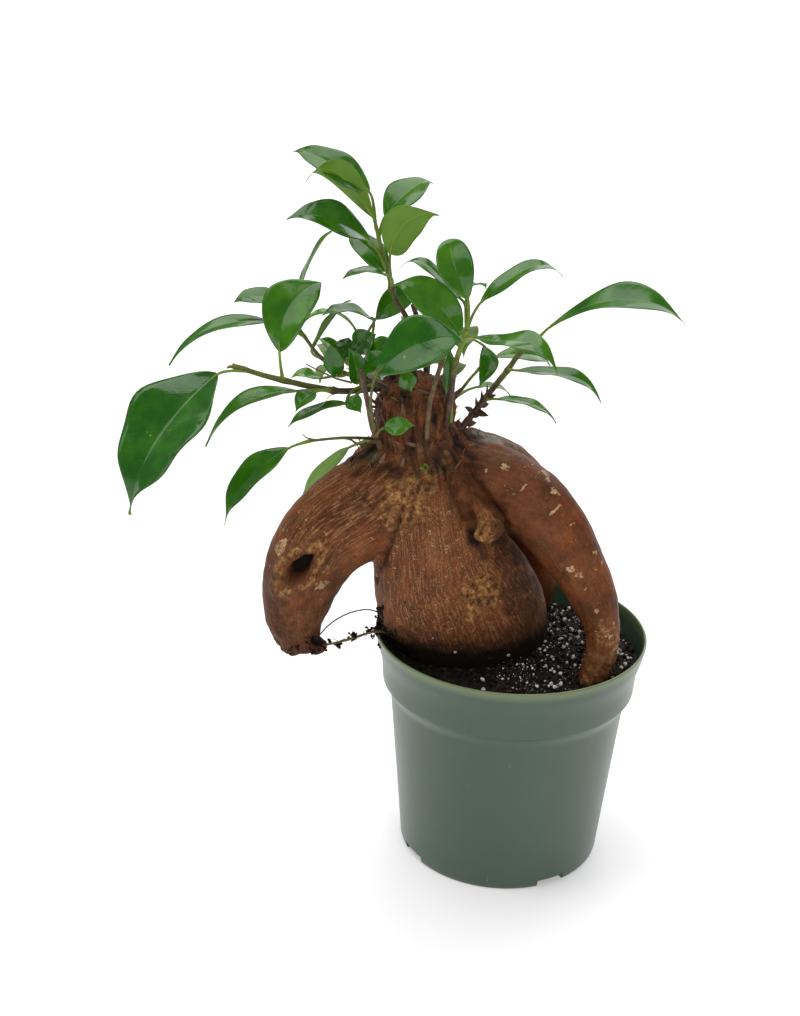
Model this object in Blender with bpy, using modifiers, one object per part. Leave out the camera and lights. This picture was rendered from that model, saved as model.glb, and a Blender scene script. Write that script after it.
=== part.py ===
"""A ginseng ficus in a nursery pot, at real size, in metres with +Z up. It is seen from -Y.

The origin is the centre of the pot's flat underside. The swollen roots and the short trunk grew as one
piece. They stand in the soil, and one long root hangs outside the pot. Each leafy shoot is one piece and
stands in a socket of the trunk. Tables of places and sizes are in millimetres and are scaled by MM.
"""

import math

import bmesh
import bpy
import numpy as np
from mathutils import Vector, noise

MM = 0.001
GAP = 0.3  # clearance between touching pieces

# Pot: radius and height of its outer wall, from the lip down to the underside
POT_OUTER = [
    (54.6, 98.0), (55.0, 97.2), (54.0, 92.5), (52.3, 87.0), (51.4, 76.2),
    (51.0, 75.4), (48.5, 71.6), (47.9, 69.0), (41.6, 1.8), (40.4, 0.0),
]
POT_WALL = 1.2
SIDES = 36  # of the pot and of the soil in it
NOTCH_ANGLES = (29, 119, 209, 299)
NOTCH_WIDTH = 11.0
NOTCH_HEIGHT = 2.6
NOTCH_REACH = (35.0, 46.0)

SOIL_MIDDLE = 92.5
SOIL_EDGE = 87.0
SOIL_LUMP = 1.1
SOIL_LUMP_SIZE = 8.0
SOIL_RINGS = (0, 16, 30, 42, 49)
HEAPS = [(42, -12, 24, 4.5), (-45, -3, 15, 7.0), (-5, -44, 22, 1.5)]  # x, y, reach and height

# Caudex: centre-line points of each root with the radius there
BULB_DEPTH = 0.82  # the bulb is shallower from front to back than it is wide
ROOTS = {
    "bulb": [
        (-37, -4, 176, 13), (-37, -7, 166, 15.5), (-36, -11, 156, 18), (-34, -12, 144, 21.5),
        (-31.5, -9, 133, 25.5), (-28, -5, 124, 29.5), (-22.5, -0.5, 111, 33), (-17.3, 7, 97, 33.1),
        (-15.8, 11, 86, 31), (-16, 11, 77, 23), (-16, 11, 71, 12),
    ],
    "left": [
        (-34, 2, 168, 14), (-43, 0, 166, 17.5), (-58, -4, 153, 18.8), (-75.5, -8, 140, 18.3),
        (-84.5, -12, 123.5, 15.8), (-86.5, -14, 110, 12.6), (-86, -15, 101.5, 9.6), (-84.5, -15, 93, 7),
    ],
    "left_toe": [(-84, -16, 99, 6.5), (-79, -18, 97, 4), (-74, -18, 96.5, 2.2)],
    "right": [
        (-28, 0, 166, 13), (-8, -2, 162, 14.3), (8, -6, 152.5, 13.7), (20, -11, 138.5, 12),
        (29, -16, 124, 9.4), (34, -20, 111, 7.3), (34.3, -22.5, 101, 6.4), (32, -25.5, 94.5, 6),
        (29, -28.5, 89.5, 4.8), (26.5, -31, 84, 3),
    ],
    "back_right": [
        (-28, 6, 168, 13), (-9, 18, 160.5, 13.3), (4, 28, 143, 13), (9, 34, 120, 12), (11, 38, 98, 9.5),
        (12, 38, 82, 6), (12, 38, 74, 3),
    ],
    "back_left": [
        (-43, 8, 166, 13), (-56, 22, 155.5, 13), (-54, 31, 137, 12.5), (-43, 34, 116, 10), (-32, 29, 98, 8),
        (-27, 26, 84, 6), (-25, 24, 76, 3),
    ],
    "knob": [(-24, -7, 164, 6), (-19.5, -14, 158.5, 5), (-15, -21, 154, 4.2), (-11.8, -25, 151, 3.7)],
    "trunk": [
        (-35, 0, 158, 21), (-38, 0, 170, 18.5), (-41.5, 0, 181, 16), (-42.3, 0, 190, 15),
        (-42.3, 0, 201, 13.5),
    ],
}
ROOT_STEPS = 24
ROOT_RESOLUTION = 6
VOXEL = 1.7
SMOOTHING = 6
BARK_LUMP = 1.0
BARK_LUMP_SIZE = 16.0
TRUNK_LUMP = 1.6
TRUNK_LUMP_SIZE = 7.0
TRUNK_FOOT = 172.0
TRUNK_BLEND = 10.0  # height over which the trunk's own lumps come in
CAUDEX_TRIANGLES = 2000

WOUND_PLACE = (-83, -28, 132)
WOUND_SIZE = (7.5, 8.0, 4.2)
WOUND_TILT = 35

# A fine root runs from the left root's toe over the pot's rim and ends just above the soil
STRAND = [
    (-83, -16, 99), (-76, -18, 97), (-67, -17, 98.5), (-55.5, -12, 100.4), (-50.5, -10, 98.8),
    (-48.6, -9.5, 95.5),
]
STRAND_RADIUS = 0.7
STRAND_STEPS = 16

# Shoots: centre-line points from inside the trunk outwards, radius at the foot and at the tip
SHOOTS = {
    "tall": ([(-40, 0, 186), (-42.5, 0, 200), (-45.8, -4, 225), (-50.8, -5, 235), (-54, -6, 245),
              (-56.7, -7, 255), (-58.5, -8, 261), (-59.5, -8, 266)], 1.5, 0.8),
    "right": ([(-32, -7, 178), (-30, -11.5, 192), (-29, -14, 203), (-28.5, -15, 212), (-27, -14, 218),
               (-25.5, -14, 223), (-24.5, -14, 227)], 1.6, 1.1),
    "far_right": ([(-29, 2, 176), (-21, 5, 186), (-17, 7, 191), (-13.5, 9, 195.5), (-8, 12, 202),
                   (-2, 14, 210.5), (4, 14, 216)], 1.6, 1.1),
    "bud": ([(-32, 1, 184), (-27.5, 3, 194), (-24.5, 4, 198), (-21.5, 5, 202),
             (-18.5, 6, 205.5)], 0.9, 0.6),
    "left": ([(-43, 2, 190), (-51, 0.5, 196.5), (-57, 0, 198.5), (-69, -3, 198), (-78.5, -5, 199.5),
              (-93.5, -11, 204.5), (-102, -13.5, 207.5), (-110.5, -16, 211)], 1.7, 1.1),
    "inner_left": ([(-44, 9, 190), (-54, 8, 198), (-70, 10, 201), (-79, 12, 206), (-86, 14, 214),
                    (-89, 14, 219)], 1.2, 0.8),
    "low_left": ([(-47, -4, 178), (-54, -6, 180), (-61, -9, 181.5), (-69, -15, 183.5),
                  (-81, -22, 184.5)], 1.0, 0.7),
    "cut_stub": ([(-49, -3, 166), (-54, -7.5, 175), (-56, -13, 182.7), (-58, -17, 188.7),
                  (-59.5, -19, 196.7), (-61, -20, 204.2), (-63, -22, 212.7)], 1.8, 1.3),
    "centre": ([(-37, 4, 188), (-39.5, 8, 214), (-42, 10, 221.5), (-44.5, 12, 229)], 1.3, 1.1),
    "pale": ([(-38, -11, 176), (-37.5, -14, 183.5), (-37.5, -16, 190), (-37, -17, 198.5), (-36, -17, 204),
              (-34.5, -16, 210), (-33, -15, 215)], 1.5, 1.3),
    "cluster": ([(-46, -6, 194), (-54, -6, 201), (-61, -5, 204), (-67, -5, 209)], 1.4, 1.0),
    "back": ([(-38, 8, 188), (-38, 18, 200), (-36, 30, 208), (-33, 40, 212)], 1.5, 0.9),
    "rear_left": ([(-46, 9, 180), (-54, 20, 190), (-62, 32, 194), (-68, 42, 197)], 1.5, 0.9),
}
STEM_STEPS = 10

# Leaves: shoot, share of the shoot where the stalk starts, blade base, blade tip, width, the way the upper
# side faces, bow of the midrib, hook of the tip, fold of the halves in degrees, sideways bow, and for
# some the peak and bluntness that half_width takes
LEAVES = [
    ("tall", 0.97, (-61.5, -7, 275), (-90, 4, 288), 13.5, (-0.2, -0.5, 0.85), 0.03, 0.04, 12, 0.02, 0.85,
     0.0),
    ("tall", 0.90, (-60, -11, 267), (-83.5, -22, 282), 11.5, (0.0, 0.85, 0.5), 0.17, 0.24, 10, 0),
    ("tall", 0.80, (-56, -4, 265.5), (-38.5, 8, 277.7), 15.5, (-0.3, -0.5, 0.8), 0.09, 0.03, 12, 0.01),
    ("tall", 0.50, (-53.5, -11, 253.7), (-36.5, -16, 270.6), 15.5, (0.0, 0.95, 0.3), 0.03, 0.04, 8, 0.19,
     0.7, 0.0),
    ("tall", 0.60, (-61, -10, 258.3), (-90.5, -18, 268.7), 16.5, (0.0, -0.5, 0.85), 0.06, 0.05, 12, 0.0,
     0.9, 0.0),
    ("tall", 0.50, (-54.5, -4, 245), (-70.5, 8, 256.5), 11, (0.0, -0.6, 0.8), 0.0, 0.04, 10, 0.06),
    ("tall", 0.50, (-53.5, -12, 246), (-70, -20, 247), 8.5, (0.0, -0.05, 1.0), 0.06, 0.05, 6, 0),
    ("right", 0.90, (-26.5, -15, 225.2), (-52.6, -24, 248.3), 17.5, (0.2, -0.7, 0.7), 0.08, 0.04, 14, 0),
    ("right", 0.97, (-26, -9, 236.5), (-51.5, 0, 246), 7.5, (0.0, -0.2, 0.95), -0.1, 0.34, 6, 0),
    ("right", 0.99, (-24.5, -14, 238.5), (-33, -8, 260.5), 14, (0.2, -0.9, 0.3), 0.05, 0.03, 12, -0.06, 1.3,
     1.0),
    ("right", 0.95, (-24, -6, 241.5), (-17, 4, 238.5), 5, (0.0, 0.3, 1.0), 0.05, 0.05, 4, 0),
    ("right", 0.90, (-20, -8, 235.5), (11, 2, 246.5), 9.5, (-0.2, -0.3, 0.9), 0.03, 0.16, 10, 0),
    ("cut_stub", 0.40, (-57.1, -31, 213.9), (-26.3, -33, 230.6), 20.5, (0.1, -0.75, 0.65), 0.08, 0.04, 10,
     -0.08, 1.2, 0.3),
    ("right", 0.90, (-21.5, -14, 224.5), (8.5, -30, 218.5), 11, (-0.1, -0.35, 0.9), -0.15, 0.34, 10, 0,
     1.25, 0.2),
    ("far_right", 0.99, (8.5, 13, 221.5), (58, 0, 230.5), 15.5, (-0.1, -0.4, 0.9), 0.13, 0.08, 14, 0, 1.4,
     0.0),
    ("bud", 0.95, (-11.5, 16, 208), (12, 28, 199.8), 10, (0.0, -0.4, 0.9), 0.06, 0.1, 12, 0),
    ("far_right", 0.70, (-4, 8, 205.3), (28.5, -4, 198.5), 8, (0.1, -0.3, 0.95), -0.02, 0.18, 10, 0, 1.1,
     0.5),
    ("far_right", 0.40, (-11, 6, 194), (12.5, 2, 187), 6.5, (0.1, -0.2, 0.95), 0.08, 0.06, 10, 0),
    ("right", 0.80, (-17, 4, 215.8), (-18.5, -4, 202.5), 8, (-0.4, -0.9, 0.2), 0.05, 0.03, 10, -0.24),
    ("bud", 0.30, (-18, 13, 196.4), (-4.5, 20, 191.3), 5.5, (0.2, -0.1, 0.95), 0.08, 0.03, 8, 0),
    ("left", 0.93, (-115.5, -20, 208.8), (-146.2, -40, 164), 33.5, (-0.5, -0.75, 0.45), 0.08, 0.03, 12,
     0.02, 0.85, 0.0),
    ("left", 0.50, (-86.5, -10, 200), (-120.5, -20, 181), 13.5, (-0.3, -0.1, 0.95), 0.12, 0.03, 14, 0, 0.8,
     0.0),
    ("left", 0.70, (-93, -18, 217.5), (-78.6, -8, 242.5), 20.5, (-0.3, -0.85, 0.4), 0.04, 0.03, 14, -0.16,
     1.05, 0.6),
    ("left", 0.50, (-80, -9, 199.5), (-87, -16, 194), 8, (-0.2, -0.5, 0.8), 0.08, 0.05, 10, 0),
    ("inner_left", 0.97, (-92.5, 14, 228), (-112.5, 10, 229.5), 10.5, (0.0, -0.4, 0.9), 0.04, 0.02, 10, 0,
     1.1, 0.4),
    ("inner_left", 0.80, (-98, 9, 221), (-136.5, 0, 206.5), 10.8, (-0.2, -0.2, 0.95), 0.12, 0.03, 12, 0,
     0.8, 0.0),
    ("inner_left", 0.99, (-88.5, 18, 231), (-76.5, 22, 254.5), 9, (-0.95, -0.1, 0.35), 0.06, 0.0, 6, 0),
    ("inner_left", 0.60, (-83.5, 18, 207.5), (-68.5, 22, 228.5), 9, (-0.8, 0.25, 0.5), 0.03, 0.0, 10, 0),
    ("inner_left", 0.40, (-79, 6, 200), (-90, 2, 202), 7, (0.0, -0.3, 0.9), 0.06, 0.03, 8, 0),
    ("cluster", 0.99, (-59, 4, 224.5), (-78, -6, 229), 10, (0.0, -0.15, 0.95), 0.07, 0.05, 10, 0),
    ("cluster", 0.99, (-58.5, 10, 223), (-42, 22, 232.5), 10.5, (0.2, -0.9, 0.4), 0.06, 0.03, 10, -0.08),
    ("low_left", 0.99, (-88.5, -26, 183), (-112, -34, 157), 12.8, (-0.5, -0.6, 0.6), 0.05, 0.03, 12, 0.05,
     0.85, 0.0),
    ("low_left", 0.40, (-67.5, 0, 173.8), (-87.5, 24, 142.5), 8.5, (-0.6, -0.5, 0.5), 0.0, 0.02, 12, 0.0),
    ("cut_stub", 0.40, (-53.5, -20, 190), (-42.5, -25, 193.5), 7, (0.0, -0.9, 0.4), 0.05, 0.03, 8, 0),
    ("pale", 0.95, (-47, -20, 212), (-44, -22, 205.5), 7, (0.0, -0.9, 0.3), 0.05, 0.03, 10, 0),
    ("pale", 0.97, (-30, -6, 216.5), (-31, -8, 200), 5.5, (0.3, -0.9, 0.1), 0.05, 0.03, 10, 0),
    ("cluster", 0.60, (-68.5, -6, 194.5), (-90, -12, 186.5), 7, (-0.2, -0.2, 0.95), 0.05, 0.04, 8, 0, 1.0,
     0.5),
    ("cluster", 0.50, (-68, -10, 198), (-62.5, -14, 194), 7, (0.0, -0.8, 0.6), 0.05, 0.03, 12, 0),
    ("cluster", 0.90, (-72, -8, 205.5), (-74.5, -14, 220.5), 8, (-0.1, -0.9, 0.4), 0.05, 0.03, 14, 0),
    ("cluster", 0.80, (-64.5, -10, 203.5), (-67.5, -15, 219.5), 9, (0.3, -0.8, 0.5), 0.08, 0.03, 20, 0),
    ("cluster", 0.99, (-65, -4, 214.5), (-58, -6, 222.5), 11, (0.0, -0.7, 0.7), 0.08, 0.03, 12, 0),
    ("cluster", 0.85, (-60.5, -8, 215), (-50, -12, 220.5), 8.5, (0.0, -0.7, 0.7), 0.08, 0.03, 14, 0),
    ("cluster", 0.70, (-62.5, -12, 210), (-52, -17, 216.5), 9, (0.1, -0.7, 0.7), 0.08, 0.03, 12, 0),
    ("cluster", 0.95, (-70.5, 2, 209), (-80, 4, 216.5), 8, (0.0, -0.2, 0.95), 0.08, 0.03, 10, 0),
    ("cluster", 0.95, (-70, 4, 209), (-68.5, 6, 217), 9, (0.0, -0.6, 0.8), 0.05, 0.03, 10, 0),
    ("cluster", 0.95, (-64.5, 8, 217), (-86.5, -2, 224), 6.5, (0.0, 0.0, 1.0), 0.22, 0.05, 6, 0),
    ("centre", 0.80, (-42, 10, 217.5), (-52, 5, 213.5), 8, (-0.1, -0.5, 0.85), 0.1, 0.05, 10, 0),
    ("back", 0.99, (-34, 43, 212), (-44, 72, 196), 20, (0.0, 0.3, 0.95), 0.08, 0.04, 12, 0),
    ("back", 0.90, (-31, 38, 212), (-22, 66, 193), 18, (0.1, 0.3, 0.95), 0.1, 0.04, 12, 0),
    ("back", 0.70, (-38, 31, 208), (-57, 53, 193), 17, (-0.2, 0.3, 0.9), 0.08, 0.04, 12, 0),
    ("back", 0.50, (-34, 23, 204), (-28, 46, 188), 16, (0.3, 0.3, 0.9), 0.08, 0.04, 12, 0),
    ("rear_left", 0.99, (-69, 44, 198), (-80, 71, 186), 19, (0.0, 0.3, 0.95), 0.08, 0.04, 12, 0),
    ("rear_left", 0.90, (-67, 37, 197), (-82, 54, 183), 16, (-0.3, 0.1, 0.95), 0.08, 0.04, 12, 0),
    ("rear_left", 0.75, (-61, 33, 194), (-64, 56, 180), 17, (0.0, 0.3, 0.95), 0.08, 0.04, 12, 0),
    ("rear_left", 0.50, (-55, 24, 192), (-48, 50, 179), 15, (0.2, 0.3, 0.9), 0.08, 0.04, 12, 0),
]
BLADE_THICKNESS = 0.7
BLADE_FACES = ((36, 6, 4), (26, 6, 2), (0, 5, 2))  # from this length on: faces along and across a blade
STALK_RADII = (0.85, 0.85, 0.85, 0.68)
STALK_IN_BLADE = 2.5
STALK_BEND = 0.35  # share of the stalk's reach at which it turns into the blade's direction
SMOOTH_UNDER = 50  # edges that turn by less than this many degrees are shaded smooth

GREEN_POT = (0.078, 0.125, 0.085)
PEAT = (0.012, 0.009, 0.007)
BARK = (0.110, 0.044, 0.020)
LEAF_GREEN = (0.030, 0.110, 0.018)
TWIG_BROWN = (0.075, 0.042, 0.020)


def clear_scene():
    for item in list(bpy.data.objects):
        bpy.data.objects.remove(item, do_unlink=True)


def collection(name, hidden=False):
    made = bpy.data.collections.new(name)
    bpy.context.scene.collection.children.link(made)
    made.hide_render = hidden
    return made


def material(name, colour, roughness):
    made = bpy.data.materials.new(name)
    made.use_nodes = True
    shader = made.node_tree.nodes["Principled BSDF"]
    shader.inputs["Base Color"].default_value = (*colour, 1)
    shader.inputs["Roughness"].default_value = roughness
    shader.inputs["Metallic"].default_value = 0
    return made


def add_object(name, data, home):
    made = bpy.data.objects.new(name, data)
    home.objects.link(made)
    return made


def bake(item):
    """Replaces the object's mesh with the one that its modifiers make."""
    bpy.context.view_layer.update()
    graph = bpy.context.evaluated_depsgraph_get()
    mesh = bpy.data.meshes.new_from_object(item.evaluated_get(graph))
    item.modifiers.clear()
    item.data = mesh


def spline(points, count):
    """Catmull-Rom through the points, at evenly spaced places. The points may carry a radius."""
    pts = [np.array(point, float) for point in points]
    pts = [2 * pts[0] - pts[1]] + pts + [2 * pts[-1] - pts[-2]]
    spans = len(pts) - 3
    places = []
    for i in range(count + 1):
        place = i / count * spans
        k = min(int(place), spans - 1)
        t = place - k
        a, b, c, d = pts[k:k + 4]
        places.append(0.5 * (2 * b + (c - a) * t + (2 * a - 5 * b + 4 * c - d) * t**2
                             + (3 * b - a - 3 * c + d) * t**3))
    return places


def tube(name, points, radii, home, resolution=1):
    """A closed tube mesh along points in millimetres, made from a bevelled curve."""
    curve = bpy.data.curves.new(name, "CURVE")
    curve.dimensions = "3D"
    curve.bevel_depth = MM
    curve.bevel_resolution = resolution
    curve.use_fill_caps = True
    line = curve.splines.new("POLY")
    line.points.add(len(points) - 1)
    for place, point, radius in zip(line.points, points, radii):
        place.co = (*(np.array(point[:3]) * MM), 1)
        place.radius = radius
    guide = add_object(name + "_curve", curve, home)
    bpy.context.view_layer.update()
    graph = bpy.context.evaluated_depsgraph_get()
    mesh = bpy.data.meshes.new_from_object(guide.evaluated_get(graph))
    bpy.data.objects.remove(guide)
    welded = bmesh.new()
    welded.from_mesh(mesh)
    bmesh.ops.remove_doubles(welded, verts=welded.verts, dist=0.001 * MM)
    welded.to_mesh(mesh)
    welded.free()
    return add_object(name, mesh, home)


def turned(name, profile, sides, home):
    """A closed turned shape. The profile runs down its outer side from the axis or the lip."""
    mesh = bpy.data.meshes.new(name)
    points = [(radius * MM, 0, height * MM) for radius, height in profile]
    mesh.from_pydata(points, [(i, i + 1) for i in range(len(points) - 1)], [])
    made = add_object(name, mesh, home)
    screw = made.modifiers.new("Turn", "SCREW")
    screw.steps = sides
    screw.render_steps = sides
    screw.use_merge_vertices = True
    screw.merge_threshold = 0.00001
    bake(made)
    return made


def drop_scraps(mesh):
    """Keeps only the largest connected piece of a mesh."""
    whole = bmesh.new()
    whole.from_mesh(mesh)
    whole.verts.ensure_lookup_table()
    pieces = []
    left = set(whole.verts)
    while left:
        piece = set()
        reached = [left.pop()]
        while reached:
            vertex = reached.pop()
            piece.add(vertex)
            near = {edge.other_vert(vertex) for edge in vertex.link_edges} & left
            left -= near
            reached += near
        pieces.append(piece)
    pieces.sort(key=len)
    for piece in pieces[:-1]:
        bmesh.ops.delete(whole, geom=list(piece), context="VERTS")
    whole.to_mesh(mesh)
    whole.free()


def unite(item, others, solver="MANIFOLD"):
    """Joins everything in the collection to the object and removes the collection's objects."""
    union = item.modifiers.new("Union", "BOOLEAN")
    union.operation = "UNION"
    union.operand_type = "COLLECTION"
    union.collection = others
    union.solver = solver
    bake(item)
    drop_scraps(item.data)
    for other in list(others.objects):
        bpy.data.objects.remove(other)


def cut(item, cutters):
    """Cuts the collection's objects out of the object."""
    difference = item.modifiers.new("Cut", "BOOLEAN")
    difference.operation = "DIFFERENCE"
    difference.operand_type = "COLLECTION"
    difference.collection = cutters
    bake(item)


def as_cutter(item):
    item.hide_render = True
    item.display_type = "WIRE"
    return item


def finish(item, paint, root):
    item.data.materials.clear()
    item.data.materials.append(paint)
    item.data.shade_smooth()
    item.data.set_sharp_from_angle(angle=math.radians(SMOOTH_UNDER))
    item.parent = root


def pot_inner(height):
    """Radius of the pot's inner wall at a height."""
    heights = [z for _, z in reversed(POT_OUTER)]
    radii = [r for r, _ in reversed(POT_OUTER)]
    return float(np.interp(height, heights, radii)) - POT_WALL


def build_pot(home):
    inner = [(pot_inner(z), z) for _, z in reversed(POT_OUTER[2:-1])]
    floor = [(0, 0), (0, POT_WALL), (pot_inner(POT_WALL), POT_WALL)]
    lip = [(POT_OUTER[1][0] - POT_WALL, POT_OUTER[1][1]), POT_OUTER[0]]
    pot = turned("pot", POT_OUTER + floor + inner + lip, SIDES, home)
    notches = collection("Notch cutters", hidden=True)
    near, far = NOTCH_REACH
    for angle in NOTCH_ANGLES:
        bpy.ops.mesh.primitive_cube_add(size=1)
        box = bpy.context.object
        box.name = f"notch_{angle}"
        box.scale = ((far - near) * MM, NOTCH_WIDTH * MM, 2 * NOTCH_HEIGHT * MM)
        turn = math.radians(angle)
        box.rotation_euler.z = turn
        middle = (near + far) / 2 * MM
        box.location = (middle * math.cos(turn), middle * math.sin(turn), 0)
        for other in list(box.users_collection):
            other.objects.unlink(box)
        notches.objects.link(as_cutter(box))
    cut(pot, notches)
    return pot


def soil_height(x, y):
    """Height of the soil: mounded round the plant and heaped at a few places, with small lumps."""
    away = min(math.hypot(x, y) / SOIL_RINGS[-1], 1)
    lump = noise.noise(Vector((x, y, 0)) / SOIL_LUMP_SIZE)
    heap = sum(rise * math.exp(-((x - u)**2 + (y - v)**2) / reach**2) for u, v, reach, rise in HEAPS)
    return SOIL_MIDDLE + (SOIL_EDGE - SOIL_MIDDLE) * away**2 + SOIL_LUMP * lump + heap


def build_soil(home):
    floor = POT_WALL + GAP
    top = [(r, SOIL_EDGE) for r in SOIL_RINGS] + [(pot_inner(SOIL_EDGE) - GAP, SOIL_EDGE - 1)]
    wall = [(pot_inner(z) - GAP, z) for _, z in POT_OUTER[4:-2]]
    foot = [(pot_inner(floor + 1) - GAP, floor + 1), (pot_inner(floor) - GAP - 1, floor), (0, floor)]
    soil = turned("soil", top + wall + foot, SIDES, home)
    for vertex in soil.data.vertices:
        if vertex.co.z > (SOIL_EDGE - 1.5) * MM:
            vertex.co.z += (soil_height(vertex.co.x / MM, vertex.co.y / MM) - SOIL_EDGE) * MM
    return soil


def bark_relief(point):
    """Height of the slow lumps of the bark, stronger and finer on the trunk."""
    swell = BARK_LUMP * noise.noise(point / BARK_LUMP_SIZE)
    trunk = min(max((point.z - TRUNK_FOOT) / TRUNK_BLEND, 0), 1)
    return swell + trunk * TRUNK_LUMP * noise.noise(point / TRUNK_LUMP_SIZE)


def build_caudex(home, sockets):
    parts = collection("Root tubes", hidden=True)
    whole = bmesh.new()
    for name, line in ROOTS.items():
        places = spline(line, ROOT_STEPS)
        if name == "bulb":
            places = [place / (1, BULB_DEPTH, 1, 1) for place in places]
        radii = [place[3] for place in places]
        root = tube(name, places, radii, parts, ROOT_RESOLUTION)
        if name == "bulb":
            for vertex in root.data.vertices:
                vertex.co.y *= BULB_DEPTH
        whole.from_mesh(root.data)
        bpy.data.objects.remove(root)
    mesh = bpy.data.meshes.new("caudex")
    whole.to_mesh(mesh)
    whole.free()
    caudex = add_object("caudex", mesh, home)
    remesh = caudex.modifiers.new("Grow together", "REMESH")
    remesh.mode = "VOXEL"
    remesh.voxel_size = VOXEL * MM
    smooth = caudex.modifiers.new("Smooth", "SMOOTH")
    smooth.iterations = SMOOTHING
    bake(caudex)
    for vertex in caudex.data.vertices:
        vertex.co += vertex.normal * bark_relief(vertex.co / MM) * MM
    triangles = sum(len(face.vertices) - 2 for face in caudex.data.polygons)
    fewer = caudex.modifiers.new("Fewer faces", "DECIMATE")
    fewer.ratio = CAUDEX_TRIANGLES / triangles
    bake(caudex)

    bpy.ops.mesh.primitive_uv_sphere_add(segments=12, ring_count=8, radius=MM)
    wound = as_cutter(bpy.context.object)
    wound.name = "wound"
    wound.scale = WOUND_SIZE
    wound.rotation_euler.y = math.radians(-WOUND_TILT)
    wound.location = Vector(WOUND_PLACE) * MM
    for other in list(wound.users_collection):
        other.objects.unlink(wound)
    sockets.objects.link(wound)
    cut(caudex, sockets)

    line = spline(STRAND, STRAND_STEPS)
    tube("strand", line, [STRAND_RADIUS] * len(line), parts)
    unite(caudex, parts, solver="EXACT")
    return caudex


def cut_soil_round(caudex, soil):
    """Leaves a thin gap between the soil and the roots that stand in it."""
    cutters = collection("Root cutters", hidden=True)
    fat = as_cutter(add_object("fat_roots", caudex.data.copy(), cutters))
    swell = fat.modifiers.new("Swell", "DISPLACE")
    swell.strength = (GAP + 0.2) * MM
    swell.mid_level = 0
    cut(soil, cutters)


def unit(vector):
    return vector / np.linalg.norm(vector)


def midrib(leaf, share):
    """Point of the midrib at a share of the blade's length, and the blade's side and face directions."""
    _, _, base, tip, _, face, bow, hook, _, sway = leaf[:10]
    base, tip, face = (np.array(value, float) for value in (base, tip, face))
    chord = tip - base
    length = np.linalg.norm(chord)
    along = chord / length
    normal = unit(face - along * face.dot(along))
    side = np.cross(along, normal)
    lift = bow * 4 * share * (1 - share) + hook * 2.1 * (share - share**4)
    drift = sway * 4 * share * (1 - share)
    return base + chord * share + (normal * lift + side * drift) * length, side, normal


def half_width(width, share, peak=0.92, blunt=0.0):
    """Half the width of an ovate blade. A higher peak widens it near the tip, and blunt rounds the tip."""
    swell = math.sin(math.pi * share**peak) ** (0.8 - 0.25 * blunt) if 0 < share < 1 else 0
    return max(width / 2 * swell * (1 - 0.25 * (1 - blunt) * share**6), 0.9 - 0.4 * share)


def blade_point(leaf, share, across):
    centre, side, normal = midrib(leaf, share)
    half = half_width(leaf[4], share, *leaf[10:])
    fold = math.radians(leaf[8])
    return centre + side * across * half * math.cos(fold) + normal * abs(across) * half * math.sin(fold)


def add_blade(name, leaf, home):
    """A leaf blade: a grid bent by the leaf's formula, split into triangles and given its thickness."""
    length = np.linalg.norm(np.subtract(leaf[3], leaf[2]))
    along, across = next((steps, rows) for least, steps, rows in BLADE_FACES if length >= least)
    grid = bmesh.new()
    bmesh.ops.create_grid(grid, x_segments=along, y_segments=across, size=1)
    for vertex in grid.verts:
        share = (1 - math.cos(math.pi * (vertex.co.x + 1) / 2)) / 2
        vertex.co = Vector(blade_point(leaf, share, vertex.co.y)) * MM
    mesh = bpy.data.meshes.new(name)
    grid.to_mesh(mesh)
    grid.free()
    blade = add_object(name, mesh, home)
    split = blade.modifiers.new("Split alike", "TRIANGULATE")
    split.quad_method = "FIXED"
    thick = blade.modifiers.new("Thickness", "SOLIDIFY")
    thick.thickness = BLADE_THICKNESS * MM
    thick.offset = 0
    bake(blade)


def add_stalk(name, start, leaf, home):
    """A leaf stalk from inside the stem to a little way inside the blade."""
    base = midrib(leaf, 0)[0]
    inside = midrib(leaf, STALK_IN_BLADE / np.linalg.norm(np.subtract(leaf[3], leaf[2])))[0]
    elbow = base - unit(inside - base) * STALK_BEND * np.linalg.norm(base - start)
    middle = (start + 2 * elbow + base) / 4
    tube(name, [start, middle, base, inside], STALK_RADII, home, resolution=0)


def build_shoot(name, home, helpers, sockets):
    points, foot, tip = SHOOTS[name]
    line = spline(points, STEM_STEPS)
    radii = [foot + (tip - foot) * i / STEM_STEPS for i in range(STEM_STEPS + 1)]
    stem = tube("shoot_" + name, line, radii, home)
    under = line[0] - unit(line[1] - line[0]) * GAP
    as_cutter(tube("socket_" + name, [under] + line, [radii[0] + GAP] + [r + GAP for r in radii], sockets))
    for i, leaf in enumerate(leaf for leaf in LEAVES if leaf[0] == name):
        start = line[round(leaf[1] * STEM_STEPS)]
        add_stalk(f"stalk_{i}", start, leaf, helpers)
        add_blade(f"blade_{i}", leaf, helpers)
    if helpers.objects:
        unite(stem, helpers)
    return stem


def main():
    clear_scene()
    home = collection("Ginseng ficus")
    sockets = collection("Socket cutters", hidden=True)
    helpers = collection("Blades and stalks", hidden=True)
    root = add_object("ginseng_ficus", None, home)

    finish(build_pot(home), material("pot green", GREEN_POT, 0.35), root)
    for name in SHOOTS:
        has_leaves = any(leaf[0] == name for leaf in LEAVES)
        colour = LEAF_GREEN if has_leaves else TWIG_BROWN
        finish(build_shoot(name, home, helpers, sockets), material("shoot " + name, colour, 0.3), root)
    caudex = build_caudex(home, sockets)
    finish(caudex, material("bark", BARK, 0.7), root)
    soil = build_soil(home)
    cut_soil_round(caudex, soil)
    finish(soil, material("peat", PEAT, 0.95), root)


main()
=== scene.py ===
"""The look of a ginseng ficus in a nursery pot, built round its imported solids, at real size in metres.

Lengths in the tables are in millimetres. Places named by u and v are pixels of the photograph, 800 wide and
1016 high, and are cast from the camera on to the roots.
"""

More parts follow.
